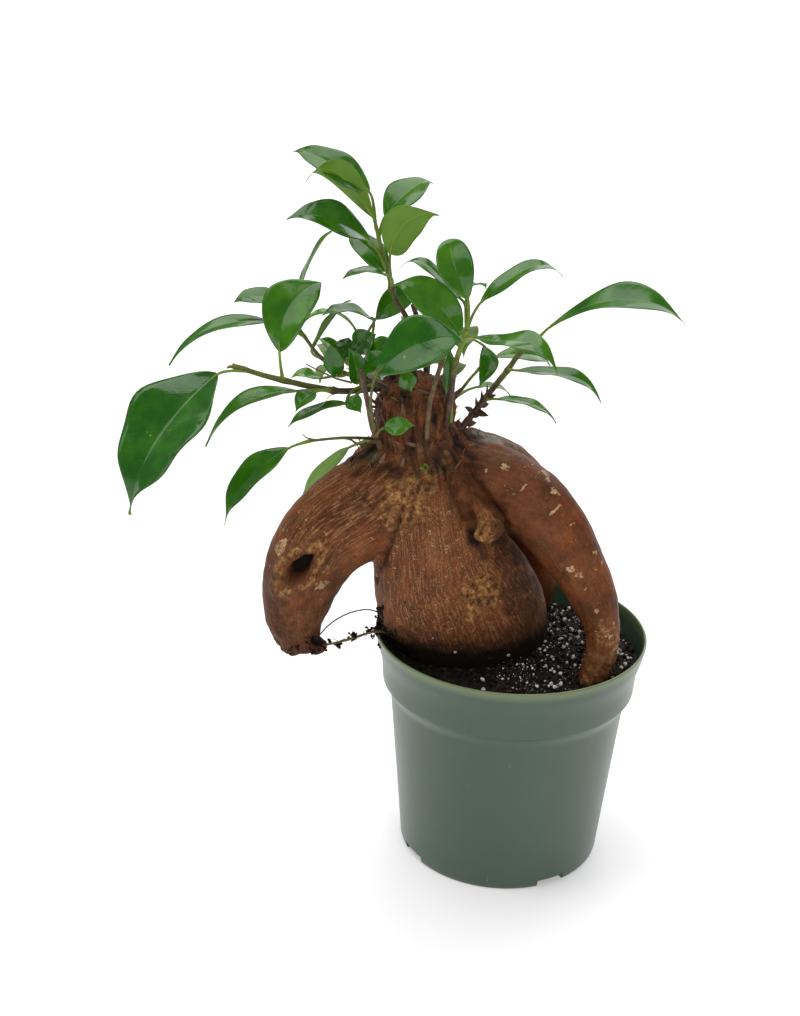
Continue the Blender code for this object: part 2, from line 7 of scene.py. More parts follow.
import math
import random
from collections import namedtuple

import bpy
import numpy as np
from mathutils import Matrix, Vector, noise
from mathutils.bvhtree import BVHTree


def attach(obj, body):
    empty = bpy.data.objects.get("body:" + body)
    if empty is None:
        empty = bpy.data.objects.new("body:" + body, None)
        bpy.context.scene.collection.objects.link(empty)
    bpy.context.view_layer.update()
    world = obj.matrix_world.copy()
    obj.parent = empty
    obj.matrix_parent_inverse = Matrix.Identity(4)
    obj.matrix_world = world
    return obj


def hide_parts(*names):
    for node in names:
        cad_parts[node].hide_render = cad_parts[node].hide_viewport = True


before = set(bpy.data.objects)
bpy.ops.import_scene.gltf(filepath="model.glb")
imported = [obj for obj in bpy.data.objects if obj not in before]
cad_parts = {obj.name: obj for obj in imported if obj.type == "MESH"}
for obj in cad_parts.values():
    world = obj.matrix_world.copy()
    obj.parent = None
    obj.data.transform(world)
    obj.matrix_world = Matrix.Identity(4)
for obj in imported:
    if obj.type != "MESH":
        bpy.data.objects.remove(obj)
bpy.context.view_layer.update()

MM = 0.001

# Camera
PICTURE = (800, 1016)
FOCAL = 1600.0  # in pixels
SENSOR = 36.0
AIM = (-46.7, 0.0, 149.3)
DISTANCE = 631.0
ELEVATION = math.radians(22.84)
ROLL = math.radians(1.98)

# Light: the even sky, the white behind the plant and the suns, each with its name, direction, width in
# degrees, power and colour
SKY = 0.22
SKY_COLOUR = (0.96, 0.97, 1.0, 1)
BACKDROP = (0.97, 0.97, 0.99, 1)
WHITE = (1, 1, 1)
WARM = (1, 0.99, 0.97)
SUNS = [
    ("overhead", (-0.15, 0.2, 1.0), 60, 2.1, WARM), ("rear", (0.35, 1.0, 0.62), 50, 0.9, WHITE),
    ("left", (-0.93, -0.1, 0.7), 40, 0.65, WARM), ("front", (0.3, -1.0, 0.75), 40, 0.7, WARM),
]
FLOOR_SIZE = 60  # in metres
FLOOR_COLOUR = (0.82, 0.82, 0.83, 1)
FLOOR_GLOW = 0.3

# Roots: centre-line points with the radius there, as in the solids
BULB_DEPTH = 0.82
ROOTS = {
    "bulb": [
        (-37, -4, 176, 13), (-37, -7, 166, 15.5), (-36, -11, 156, 18), (-34, -12, 144, 21.5),
        (-31.5, -9, 133, 25.5), (-28, -5, 124, 29.5), (-22.5, -0.5, 111, 33), (-17.3, 7, 97, 33.1),
        (-15.8, 11, 86, 31), (-16, 11, 77, 23), (-16, 11, 71, 12),
    ],
    "left": [
        (-34, 2, 168, 14), (-43, 0, 166, 17.5), (-58, -4, 153, 18.8), (-75.5, -8, 140, 18.3),
        (-84.5, -12, 123.5, 15.8), (-86.5, -14, 110, 12.6), (-86, -15, 101.5, 9.6), (-84.5, -15, 93, 7),
    ],
    "left_toe": [(-84, -16, 99, 6.5), (-79, -18, 97, 4), (-74, -18, 96.5, 2.2)],
    "right": [
        (-28, 0, 166, 13), (-8, -2, 162, 14.3), (8, -6, 152.5, 13.7), (20, -11, 138.5, 12),
        (29, -16, 124, 9.4), (34, -20, 111, 7.3), (34.3, -22.5, 101, 6.4), (32, -25.5, 94.5, 6),
        (29, -28.5, 89.5, 4.8), (26.5, -31, 84, 3),
    ],
    "back_right": [
        (-28, 6, 168, 13), (-9, 18, 160.5, 13.3), (4, 28, 143, 13), (9, 34, 120, 12), (11, 38, 98, 9.5),
        (12, 38, 82, 6), (12, 38, 74, 3),
    ],
    "back_left": [
        (-43, 8, 166, 13), (-56, 22, 155.5, 13), (-54, 31, 137, 12.5), (-43, 34, 116, 10),
        (-32, 29, 98, 8), (-27, 26, 84, 6), (-25, 24, 76, 3),
    ],
    "knob": [(-24, -7, 164, 6), (-19.5, -14, 158.5, 5), (-15, -21, 154, 4.2), (-11.8, -25, 151, 3.7)],
    "trunk": [
        (-35, 0, 158, 21), (-38, 0, 170, 18.5), (-41.5, 0, 181, 16), (-42.3, 0, 190, 15),
        (-42.3, 0, 199, 13.5), (-42.3, 0, 202.5, 9), (-42.3, 0, 203.5, 3),
    ],
}
ROOT_SAMPLES = 90
ROOT_SIDES = 40
GRAIN_SHIFT = 37.0  # between the grain of one root and the next
GRAIN_CLEAR = 3.5  # how far a point must lie from the next root for its grain to show in full
VOXEL = 0.85
SMOOTHING = 24
TRUNK_FOOT = 172.0
TRUNK_BLEND = 10.0
NECK_FOOT = (163, 171)  # heights between which the neck's bark starts
NECK_RIGHT = (-20, -12)  # x between which it ends
SOIL_LINE = 92.0
# Top of the painted shade low on the bulb
BULB_SHADE_TOP = 118.0

# Zones of the roots: which roots, and the heights between which the zone ends upwards
LEFT_ROOTS = ("left", "left_toe")
ZONES = {
    "right_foot": (("right",), 100, 122), "left_end": (LEFT_ROOTS, 94, 106),
    "left_low": (LEFT_ROOTS, 100, 130), "left_shade": (LEFT_ROOTS, 122, 156),
}
# Relief of the bark: zone, height, whether it runs along the grain, size of its lumps, seed
RELIEF = [
    ("all", 1.0, False, 16.0, 0), ("trunk", 1.6, False, 7.0, 0), ("clear", 0.22, True, (2.6, 2.6, 22.0), 0),
    ("all", 0.22, False, 4.0, 3.1), ("trunk", 0.7, True, (2.2, 2.2, 9.0), 5.0),
    ("trunk", 0.5, False, 2.2, 8.0), ("right_foot", 0.55, True, (9.0, 9.0, 2.4), 1.7),
    ("left_end", 1.1, False, 2.6, 2.0), ("left_low", 0.4, True, (2.2, 2.2, 7.0), 6.0),
    ("neck", 0.7, False, 3.4, 2.9), ("neck", 0.35, False, 1.7, 4.9),
]

# Marks on the bark: u, v, radius, strength
PALE_MARKS = [
    (282, 548, 5, 1), (285, 541, 2.6, 0.9), (322, 584, 3.8, 1), (278, 566, 1.3, 0.9), (271, 566, 1.2, 0.8),
    (323, 572, 1.5, 0.9), (321, 599, 1.3, 0.7), (348, 524, 1.4, 0.8), (306, 521, 1.3, 0.7),
    (341, 550, 1, 0.6), (394, 554, 1.3, 0.9), (426, 493, 1.3, 0.6), (435, 566, 1, 0.7), (414, 610, 1, 0.6),
    (506, 466, 2.6, 1), (486, 471, 1.3, 0.6), (546, 472, 2.8, 0.9), (548, 479, 2, 0.9),
    (553, 491, 2.4, 0.9), (558, 494, 2, 0.8), (513, 496, 1.6, 0.5), (524, 502, 1, 0.6), (571, 570, 2.6, 1),
    (579, 575, 2.8, 1), (597, 610, 1.3, 0.8), (586, 590, 1.1, 0.8), (609, 598, 1.1, 0.7),
    (603, 563, 1.3, 0.7), (596, 553, 1, 0.8), (609, 636, 2.4, 0.8), (596, 632, 1.6, 0.7),
    (614, 622, 1.8, 0.6), (533, 525, 0.9, 0.4), (560, 545, 0.9, 0.4),
]
TAN_MARKS = [
    (312, 542, 5.5, 0.8), (299, 548, 4, 0.5), (326, 570, 4.5, 0.6), (290, 590, 4, 0.5), (330, 596, 5, 0.4),
    (405, 496, 11, 1.1), (395, 512, 9, 0.9), (418, 484, 9, 0.9), (380, 500, 9, 0.5), (428, 505, 6, 0.4),
    (414, 451, 5, 0.7), (432, 450, 4, 0.5), (448, 456, 4, 0.6), (440, 463, 7, 0.6), (455, 470, 5, 0.5),
    (415, 466, 7, 0.35), (478, 590, 7.5, 1.5), (484, 603, 7, 1.4), (474, 612, 5, 1.3), (489, 583, 5, 1.2),
    (541, 630, 5, 0.6), (609, 640, 7, 0.7), (600, 662, 8, 0.6), (592, 680, 7, 0.6), (600, 625, 5, 0.4),
    (486, 526, 5, 1), (360, 462, 6, 0.6), (310, 612, 9, 0.35), (376, 452, 5, 0.5), (562, 570, 3.5, 0.5),
    (489, 540, 4, 0.9), (483, 578, 4, 0.8), (344, 575, 5, 0.5), (316, 536, 4, 0.7), (286, 600, 6, 0.4),
]
# Painted shade on the bark, mostly in the crevices round the knob, along the right root's inner edge and on
# the left root's left side
SHADE_MARKS = [
    (498, 505, 5, 0.5), (508, 530, 6, 0.6), (516, 556, 6, 0.6), (526, 584, 5.5, 0.55), (535, 610, 5, 0.5),
    (268, 575, 9, 0.45), (270, 600, 9, 0.5), (277, 624, 9, 0.5), (272, 548, 7, 0.35), (300, 618, 9, 0.3),
    (470, 485, 6, 0.45), (482, 500, 6, 0.4), (520, 558, 8, 0.4), (535, 585, 8, 0.4), (600, 662, 7, 0.35),
    (522, 585, 9, 0.5), (528, 612, 10, 0.55), (515, 640, 9, 0.5), (505, 560, 8, 0.42), (492, 640, 8, 0.4),
    (456, 496, 6, 0.45), (464, 510, 5, 0.4), (500, 545, 6, 0.5), (512, 530, 6, 0.5), (515, 600, 8, 0.5),
    (384, 560, 4, 0.5), (318, 640, 6, 0.55), (305, 645, 6, 0.5), (330, 640, 5, 0.6), (344, 640, 5, 0.8),
    (385, 645, 9, 0.8), (395, 655, 9, 0.9), (375, 615, 5, 0.6), (474, 540, 3, 0.5), (484, 553, 3, 0.5),
]
MOSS_MARKS = [
    (372, 455, 4.5, 0.7), (352, 466, 6, 0.4), (484, 437, 6, 0.8), (497, 441, 6, 0.8), (512, 447, 5, 0.6),
    (521, 596, 2.5, 0.5), (527, 610, 2.5, 0.4),
]
# Scratches and healed cracks: from u, v to u, v, half width, strength
SCRATCHES = [
    (551, 514, 560, 505, 0.35, 1), (520, 491, 526, 485, 0.3, 0.8), (568, 526, 574, 523, 0.3, 0.7),
    (591, 554, 597, 551, 0.35, 0.8), (526, 470, 534, 463, 0.3, 0.6), (524, 467, 531, 460, 0.25, 0.5),
    (504, 486, 513, 495, 0.4, 0.5), (513, 495, 518, 500, 0.35, 0.6), (351, 520, 360, 530, 0.3, 0.6),
    (299, 527, 310, 537, 0.35, 0.6), (572, 541, 576, 539, 0.3, 0.6), (541, 499, 546, 497, 0.3, 0.5),
    (325, 532, 327, 537, 0.25, 0.5), (540, 470, 536, 477, 0.3, 0.5), (590, 571, 597, 569, 0.3, 0.5),
]
# Rows of small pale dashes across the bulb, as pixels
DASH_ROWS = [
    [(404, 515), (430, 512), (452, 514)], [(400, 532), (430, 530), (466, 533)], [(392, 541), (410, 540)],
    [(385, 549), (397, 546)], [(425, 548), (445, 550)],
]
DASH_WIDTH = 1.3
# Creases: pixels along them, half width, depth, and the darkness of the painted shade in them
GROOVES = [
    ([(397, 520), (388, 545), (380, 565), (376, 580)], 1.7, 2.4, 0.55),
    ([(452, 478), (458, 492), (465, 506), (470, 519)], 2.2, 3.6, 0.45),
    ([(468, 474), (478, 488), (490, 504), (503, 522)], 2, 2.6, 0.45),
]
# Pits, darkened with painted shade: u, v, radius, depth
PITS = [(317, 641, 3.6, 2.5)]

# The knob: where its middle shows in the picture, its radius and how far it stands out
KNOB_UV = (490, 533)
KNOB_RADIUS = 4.9
KNOB_HEIGHT = 2.6
# The wound in the left root: its middle in the picture, half its length and width, depth, slant, how
# square it is, how far it may reach and the way it goes in
WOUND_UV = (299.5, 569.0)
WOUND_HALF = (8.0, 3.6)
WOUND_DEPTH = 7.0
WOUND_SLANT = math.radians(49)
WOUND_POWER = 1.35
WOUND_LIMIT = 22
WOUND_INWARD = (0.18, 0.96, 0.12)

# Shoots: centre-line points, radius at the foot and at the tip, greenness at the foot and at the tip
SHOOTS = {
    "tall": ([
        (-40, 0, 186), (-42.5, 0, 200), (-45.8, -4, 225), (-50.8, -5, 235), (-54, -6, 245),
        (-56.7, -7, 255), (-58.5, -8, 261), (-59.5, -8, 266),
    ], 1.5, 0.8, 0, 1),
    "right": ([
        (-32, -7, 178), (-30, -11.5, 192), (-29, -14, 203), (-28.5, -15, 212), (-27, -14, 218),
        (-25.5, -14, 223), (-24.5, -14, 227),
    ], 1.6, 1.1, 0, 0.9),
    "far_right": ([
        (-29, 2, 176), (-21, 5, 186), (-17, 7, 191), (-13.5, 9, 195.5), (-8, 12, 202), (-2, 14, 210.5),
        (4, 14, 216),
    ], 1.6, 1.1, 0, 0.35),
    "bud": ([
        (-32, 1, 184), (-27.5, 3, 194), (-24.5, 4, 198), (-21.5, 5, 202), (-18.5, 6, 205.5),
    ], 0.9, 0.6, 0, 0.7),
    "left": ([
        (-43, 2, 190), (-51, 0.5, 196.5), (-57, 0, 198.5), (-69, -3, 198), (-78.5, -5, 199.5),
        (-93.5, -11, 204.5), (-102, -13.5, 207.5), (-110.5, -16, 211),
    ], 1.7, 1.1, 0, 0.4),
    "inner_left": ([
        (-44, 9, 190), (-54, 8, 198), (-70, 10, 201), (-79, 12, 206), (-86, 14, 214), (-89, 14, 219),
    ], 1.2, 0.8, 0, 0.4),
    "low_left": ([
        (-47, -4, 178), (-54, -6, 180), (-61, -9, 181.5), (-69, -15, 183.5), (-81, -22, 184.5),
    ], 1, 0.7, 0, 0.35),
    "cut_stub": ([
        (-49, -3, 166), (-54, -7.5, 175), (-56, -13, 182.7), (-58, -17, 188.7), (-59.5, -19, 196.7),
        (-61, -20, 204.2), (-63, -22, 212.7),
    ], 1.8, 1.3, 0, 0),
    "centre": ([(-37, 4, 188), (-39.5, 8, 214), (-42, 10, 221.5), (-44.5, 12, 229)], 1.3, 1.1, 0, 0),
    "pale": ([
        (-38, -11, 176), (-37.5, -14, 183.5), (-37.5, -16, 190), (-37, -17, 198.5), (-36, -17, 204),
        (-34.5, -16, 210), (-33, -15, 215),
    ], 1.5, 1.3, 0, 0),
    "cluster": ([(-46, -6, 194), (-54, -6, 201), (-61, -5, 204), (-67, -5, 209)], 1.4, 1, 0, 0.3),
    "back": ([(-38, 8, 188), (-38, 18, 200), (-36, 30, 208), (-33, 40, 212)], 1.5, 0.9, 0, 0.6),
    "rear_left": ([(-46, 9, 180), (-54, 20, 190), (-62, 32, 194), (-68, 42, 197)], 1.5, 0.9, 0, 0.6),
}
# How far stems are thinned, how straw-coloured some are, and how green the stalks of some shoots are
SLIM = {
    "tall": 0.8, "left": 0.85, "low_left": 0.75, "inner_left": 0.8, "pale": 0.68, "cut_stub": 0.72,
    "right": 0.8,
}
FADED = {"pale": 0.5, "cut_stub": 0.15}
DULL_STALKS = {"cluster": 0.6, "cut_stub": 0.35, "pale": 0.5}
BUDDED = ("back", "rear_left")
# Small twigs and spikes of each shoot: points, radius at the foot, green and faded shares
SPRIGS = {
    "low_left": [
        ([(-57, -4, 177), (-63, -8, 178.5), (-66.5, -10, 181), (-70, -13, 182.5)], 0.55, 0.2, 0),
        ([(-78, -20.5, 184.3), (-82, -22, 185.5), (-84, -22, 187)], 0.4, 0.5, 0),
    ],
    "cluster": [
        ([(-66.5, -6, 202.5), (-73, -7, 204.5), (-80, -8, 208), (-84, -8, 210)], 0.45, 0.4, 0),
        ([(-69, -6, 198.5), (-74.5, -7, 197.5), (-76.5, -8, 194.5)], 0.22, 0.3, 0),
    ],
    "right": [([(-28.5, -12, 190), (-28.5, -12, 201), (-27.5, -12, 210)], 0.6, 0.9, 0)],
    "centre": [([(-43, 10, 217.5), (-41, 10, 221.5), (-38.5, 10, 227.5)], 0.7, 0, 0)],
    "left": [([(-108.5, -15, 209.5), (-111, -16, 210.5), (-112.5, -16, 210)], 0.9, 0, 1)],
}
STEM_STEPS = 10
STEM_RINGS = 60
STEM_SIDES = 14

# Leaves of each shoot: share of the shoot where the stalk starts, base and tip of the blade, width, the way
# the upper side faces, bow of the midrib, hook of the tip, fold of the halves in degrees, youth, and for
# some the sideways bow, the place of the widest part and how blunt the tip is
Leaf = namedtuple("Leaf", "share base tip width face bow hook fold youth sway peak blunt",
                  defaults=(0, 0.92, 0))
LEAVES = {
    "tall": [
        (0.97, (-61.5, -7, 275), (-90, 4, 288), 13.5, (-0.2, -0.5, 0.85), 0.03, 0.04, 12, 0.3, 0.02, 0.85),
        (0.9, (-60, -11, 267), (-83.5, -22, 282), 11.5, (0, 0.85, 0.5), 0.17, 0.24, 10, 0.8),
        (0.8, (-56, -4, 265.5), (-38.5, 8, 277.7), 15.5, (-0.3, -0.5, 0.8), 0.09, 0.03, 12, 0.4, 0.01),
        (0.5, (-53.5, -11, 253.7), (-36.5, -16, 270.6), 15.5, (0, 0.95, 0.3), 0.03, 0.04, 8, 0.5, 0.19, 0.7),
        (0.6, (-61, -10, 258.3), (-90.5, -18, 268.7), 16.5, (0, -0.5, 0.85), 0.06, 0.05, 12, 0.1, 0, 0.9),
        (0.5, (-54.5, -4, 245), (-70.5, 8, 256.5), 11, (0, -0.6, 0.8), 0, 0.04, 10, 0.2, 0.06),
        (0.5, (-53.5, -12, 246), (-70, -20, 247), 8.5, (0, -0.05, 1), 0.06, 0.05, 6, 0.4),
    ],
    "right": [
        (0.9, (-26.5, -15, 225.2), (-52.6, -24, 248.3), 17.5, (0.2, -0.7, 0.7), 0.08, 0.04, 14, 0.35),
        (0.97, (-26, -9, 236.5), (-51.5, 0, 246), 7.5, (0, -0.2, 0.95), -0.1, 0.34, 6, 0.5),
        (0.99, (-24.5, -14, 238.5), (-33, -8, 260.5), 14, (0.2, -0.9, 0.3), 0.05, 0.03, 12, 0.5, -0.06,
         1.3, 1),
        (0.95, (-24, -6, 241.5), (-17, 4, 238.5), 5, (0, 0.3, 1), 0.05, 0.05, 4, 0.4),
        (0.9, (-20, -8, 235.5), (11, 2, 246.5), 9.5, (-0.2, -0.3, 0.9), 0.03, 0.16, 10, 0.3),
        (0.9, (-21.5, -14, 224.5), (8.5, -30, 218.5), 11, (-0.1, -0.35, 0.9), -0.15, 0.34, 10, 0.4, 0,
         1.25, 0.2),
        (0.8, (-17, 4, 215.8), (-18.5, -4, 202.5), 8, (-0.4, -0.9, 0.2), 0.05, 0.03, 10, 0.2, -0.24),
    ],
    "cut_stub": [
        (0.4, (-57.1, -31, 213.9), (-26.3, -33, 230.6), 20.5, (0.1, -0.75, 0.65), 0.08, 0.04, 10, 0.1,
         -0.08, 1.2, 0.3),
        (0.4, (-53.5, -20, 190), (-42.5, -25, 193.5), 7, (0, -0.9, 0.4), 0.05, 0.03, 8, 0.6),
    ],
    "far_right": [
        (0.99, (8.5, 13, 221.5), (58, 0, 230.5), 15.5, (-0.1, -0.4, 0.9), 0.13, 0.08, 14, 0.15, 0, 1.4),
        (0.7, (-4, 8, 205.3), (28.5, -4, 198.5), 8, (0.1, -0.3, 0.95), -0.02, 0.18, 10, 0.2, 0, 1.1, 0.5),
        (0.4, (-11, 6, 194), (12.5, 2, 187), 6.5, (0.1, -0.2, 0.95), 0.08, 0.06, 10, 0.4),
    ],
    "bud": [
        (0.95, (-11.5, 16, 208), (12, 28, 199.8), 10, (0, -0.4, 0.9), 0.06, 0.1, 12, 0.3),
        (0.3, (-18, 13, 196.4), (-4.5, 20, 191.3), 5.5, (0.2, -0.1, 0.95), 0.08, 0.03, 8, 0.6),
    ],
    "left": [
        (0.93, (-115.5, -20, 208.8), (-146.2, -40, 164), 33.5, (-0.5, -0.75, 0.45), 0.08, 0.03, 12, 0.05,
         0.02, 0.85),
        (0.5, (-86.5, -10, 200), (-120.5, -20, 181), 13.5, (-0.3, -0.1, 0.95), 0.12, 0.03, 14, 0.3, 0, 0.8),
        (0.7, (-93, -18, 217.5), (-78.6, -8, 242.5), 20.5, (-0.3, -0.85, 0.4), 0.04, 0.03, 14, 0.25, -0.16,
         1.05, 0.6),
        (0.5, (-80, -9, 199.5), (-87, -16, 194), 8, (-0.2, -0.5, 0.8), 0.08, 0.05, 10, 0.2),
    ],
    "inner_left": [
        (0.97, (-92.5, 14, 228), (-112.5, 10, 229.5), 10.5, (0, -0.4, 0.9), 0.04, 0.02, 10, 0.2, 0, 1.1, 0.4),
        (0.8, (-98, 9, 221), (-136.5, 0, 206.5), 10.8, (-0.2, -0.2, 0.95), 0.12, 0.03, 12, 0.2, 0, 0.8),
        (0.99, (-88.5, 18, 231), (-76.5, 22, 254.5), 9, (-0.95, -0.1, 0.35), 0.06, 0, 6, 0.4),
        (0.6, (-83.5, 18, 207.5), (-68.5, 22, 228.5), 9, (-0.8, 0.25, 0.5), 0.03, 0, 10, 0.5),
        (0.4, (-79, 6, 200), (-90, 2, 202), 7, (0, -0.3, 0.9), 0.06, 0.03, 8, 0.9),
    ],
    "cluster": [
        (0.99, (-59, 4, 224.5), (-78, -6, 229), 10, (0, -0.15, 0.95), 0.07, 0.05, 10, 0.2),
        (0.99, (-58.5, 10, 223), (-42, 22, 232.5), 10.5, (0.2, -0.9, 0.4), 0.06, 0.03, 10, 0.3, -0.08),
        (0.6, (-68.5, -6, 194.5), (-90, -12, 186.5), 7, (-0.2, -0.2, 0.95), 0.05, 0.04, 8, 0.3, 0, 1, 0.5),
        (0.5, (-68, -10, 198), (-62.5, -14, 194), 7, (0, -0.8, 0.6), 0.05, 0.03, 12, 0.3),
        (0.9, (-72, -8, 205.5), (-74.5, -14, 220.5), 8, (-0.1, -0.9, 0.4), 0.05, 0.03, 14, 0.1),
        (0.8, (-64.5, -10, 203.5), (-67.5, -15, 219.5), 9, (0.3, -0.8, 0.5), 0.08, 0.03, 20, 0.1),
        (0.99, (-65, -4, 214.5), (-58, -6, 222.5), 11, (0, -0.7, 0.7), 0.08, 0.03, 12, 0.1),
        (0.85, (-60.5, -8, 215), (-50, -12, 220.5), 8.5, (0, -0.7, 0.7), 0.08, 0.03, 14, 0.3),
        (0.7, (-62.5, -12, 210), (-52, -17, 216.5), 9, (0.1, -0.7, 0.7), 0.08, 0.03, 12, 0.2),
        (0.95, (-70.5, 2, 209), (-80, 4, 216.5), 8, (0, -0.2, 0.95), 0.08, 0.03, 10, 0.1),
        (0.95, (-70, 4, 209), (-68.5, 6, 217), 9, (0, -0.6, 0.8), 0.05, 0.03, 10, 0.1),
        (0.95, (-64.5, 8, 217), (-86.5, -2, 224), 6.5, (0, 0, 1), 0.22, 0.05, 6, 0.9),
    ],
    "low_left": [
        (0.99, (-88.5, -26, 183), (-112, -34, 157), 12.8, (-0.5, -0.6, 0.6), 0.05, 0.03, 12, 0.25, 0.05,
         0.85),
        (0.4, (-67.5, 0, 173.8), (-87.5, 24, 142.5), 8.5, (0.6, 0.5, -0.5), 0, -0.02, -12, 0),
    ],
    "pale": [
        (0.95, (-47, -20, 212), (-44, -22, 205.5), 7, (0, -0.9, 0.3), 0.05, 0.03, 10, 0.3),
        (0.97, (-30, -6, 216.5), (-31, -8, 200), 5.5, (0.3, -0.9, 0.1), 0.05, 0.03, 10, 0.3),
    ],
    "centre": [(0.8, (-42, 10, 217.5), (-52, 5, 213.5), 8, (-0.1, -0.5, 0.85), 0.1, 0.05, 10, 0.1)],
    "back": [
        (0.99, (-34, 43, 212), (-44, 72, 196), 20, (0, 0.3, 0.95), 0.08, 0.04, 12, 0.2),
        (0.9, (-31, 38, 212), (-22, 66, 193), 18, (0.1, 0.3, 0.95), 0.1, 0.04, 12, 0.2),
        (0.7, (-38, 31, 208), (-57, 53, 193), 17, (-0.2, 0.3, 0.9), 0.08, 0.04, 12, 0.1),
        (0.5, (-34, 23, 204), (-28, 46, 188), 16, (0.3, 0.3, 0.9), 0.08, 0.04, 12, 0.1),
    ],
    "rear_left": [
        (0.99, (-69, 44, 198), (-80, 71, 186), 19, (0, 0.3, 0.95), 0.08, 0.04, 12, 0.2),
        (0.9, (-67, 37, 197), (-82, 54, 183), 16, (-0.3, 0.1, 0.95), 0.08, 0.04, 12, 0.2),
        (0.75, (-61, 33, 194), (-64, 56, 180), 17, (0, 0.3, 0.95), 0.08, 0.04, 12, 0.1),
        (0.5, (-55, 24, 192), (-48, 50, 179), 15, (0.2, 0.3, 0.9), 0.08, 0.04, 12, 0.1),
    ],
}
BLADE_ROWS = 40
BLADE_COLUMNS = 9  # on each side of the midrib
BLADE_CROWD = 1.35  # how closely the columns stand at the midrib
BLADE_THICKNESS = 0.38
RIB_WIDTH = 0.55
WAVE_LAG = 2.1  # between the waves of the two halves, in radians
STALK_RADII = (0.8, 0.55, 0.5, 0.45)
ROUND = 6.28  # about a full turn, in radians

# Pot: its outer profile from the lip down, and the inside of its lip upwards
POT_OUTER = [
    (54.35, 98.1), (54.75, 98), (55, 97.6), (54.95, 97), (54.6, 95.4), (54.1, 92.8), (53.4, 90.2),
    (52.6, 87.6), (52.05, 85), (51.8, 82), (51.6, 79), (51.45, 76.8), (51.4, 76.3), (51.1, 76),
    (50.5, 75.4), (49.8, 74.1), (49.1, 72.9), (48.5, 71.7), (48.15, 70.6), (47.95, 69.3), (47.3, 62.2),
    (46.7, 56), (45.6, 44), (44.45, 32), (43.35, 20), (42.25, 8), (41.75, 2.2), (41.4, 0.8), (40.9, 0.15),
    (40.4, 0),
]
POT_LIP = [(53.75, 96.6), (53.85, 97.5), (54.05, 97.95)]
POT_WALL = 1.2
POT_SIDES = 180
POT_SHARP = math.radians(40)
NOTCH_ANGLES = (29, 119, 209, 299)
NOTCH_WIDTH = 12.5
NOTCH_HEIGHT = 3.2
NOTCH_REACH = (35.0, 46.0)

# Soil
SOIL_MIDDLE = 92.5
SOIL_EDGE = 87.0
SOIL_LUMP = 1.1
SOIL_LUMP_SIZE = 8.0
SOIL_RADIUS = 49.0
SOIL_GAP = 0.3
SOIL_RINGS = 90
SOIL_SIDES = 300
HEAPS = [(42, -12, 24, 4.5), (-45, -3, 15, 7.0), (-5, -44, 22, 1.5)]  # x, y, reach and height
CRUMB_COUNT = 1900
CRUMB_SIZES = (0.35, 1.25)
CLUMP_SIZES = (0.35, 0.8)
PERLITE_COUNT = 1400

# Fine roots: the strand over the pot's rim, the arched root above it and the hairs on the strand
STRAND = [
    (-83, -16, 99), (-76, -18, 97), (-67, -17, 98.5), (-55.5, -12, 100.4), (-50.5, -10, 98.8),
    (-48.6, -9.5, 95.5), (-48, -9.5, 92.5),
]
ARC_ROOT = [
    (-77, -16, 100), (-73, -16, 105), (-67, -14, 108.5), (-60, -11, 109.5), (-55, -7, 107), (-52, -4, 103),
]
HAIR_COUNT = 40
HAIR_LENGTHS = (1.0, 4.2)
HAIR_RADIUS = 0.085
BUD = (-37.5, -17, 173.5)  # a green bud at the foot of the trunk
# Dead scales: how many lie on the trunk, the trunk's axis and the heights between which they lie
SCALE_COUNT = 150
TRUNK_AXIS = (-42, 0)
SCALE_HEIGHTS = (168, 202)
# Dead scales along the far right stem: share of the stem, direction, length, half width, curl
BRACTS = [
    (0.1, (-0.5, -0.5, 0.8), 5, 1.5, 0.7), (0.13, (0.8, -0.5, 0.2), 6, 1.6, -0.6),
    (0.16, (-0.2, -0.7, 0.8), 6, 1.5, 0.9), (0.19, (0.7, -0.6, 0.5), 5, 1.6, 0.8),
    (0.22, (-0.6, -0.4, 0.8), 6, 1.4, -0.7), (0.24, (0.9, -0.4, -0.1), 6, 1.5, 0.6),
    (0.27, (0.3, -0.7, 0.9), 6, 1.4, 1), (0.3, (-0.5, -0.5, 0.9), 6, 1.3, 0.8),
    (0.33, (0.9, -0.4, 0.2), 5, 1.4, -0.8), (0.36, (0.2, -0.6, 1), 6, 1.2, 0.6),
    (0.39, (-0.5, -0.4, 1), 6, 1.1, 1), (0.43, (0.8, -0.4, 0.5), 5, 1.2, 0.7),
    (0.47, (-0.3, -0.5, 1), 6, 1, 0.8), (0.52, (0.5, -0.5, 0.8), 5, 0.9, 1.1),
    (0.08, (0.9, -0.3, -0.4), 6, 1.6, 0.5), (0.06, (-0.3, -0.8, 0.4), 5, 1.7, 0.6),
]
# Boxes of pixels whose bark carries soil crumbs: left, top, right, bottom, count, sizes
CRUMB_BOXES = [
    (283, 645, 326, 657, 22, 0.3, 0.8), (306, 634, 328, 650, 34, 0.3, 0.9),
    (384, 640, 440, 662, 30, 0.25, 0.6), (377, 606, 384, 650, 130, 0.35, 1.1),
    (384, 628, 396, 652, 60, 0.3, 0.9),
]
# Clumps of soil on the fine roots: middle, spread, count
CLUMPS = [
    ((-69.5, -17.3, 96.6), 0.65, 22), ((-63.5, -15.3, 99.4), 0.75, 24), ((-72.5, -17.5, 98), 0.6, 8),
    ((-58, -12.5, 101), 0.6, 7), ((-53.5, -4, 102.5), 0.9, 30), ((-54, -8, 98.5), 1.2, 60),
    ((-51, -12, 95), 1.2, 50),
]
BULB_GRAINS = [(433, 638, 0.55), (455, 652, 0.7), (508, 655, 0.9)]


# Camera, light and floor

def camera_axes():
    """The camera's right, up and backward directions."""
    back = Vector((0, -math.cos(ELEVATION), math.sin(ELEVATION)))
    level = Vector((1, 0, 0))
    upright = back.cross(level)
    right = math.cos(ROLL) * level + math.sin(ROLL) * upright
    up = -math.sin(ROLL) * level + math.cos(ROLL) * upright
    return right, up, back


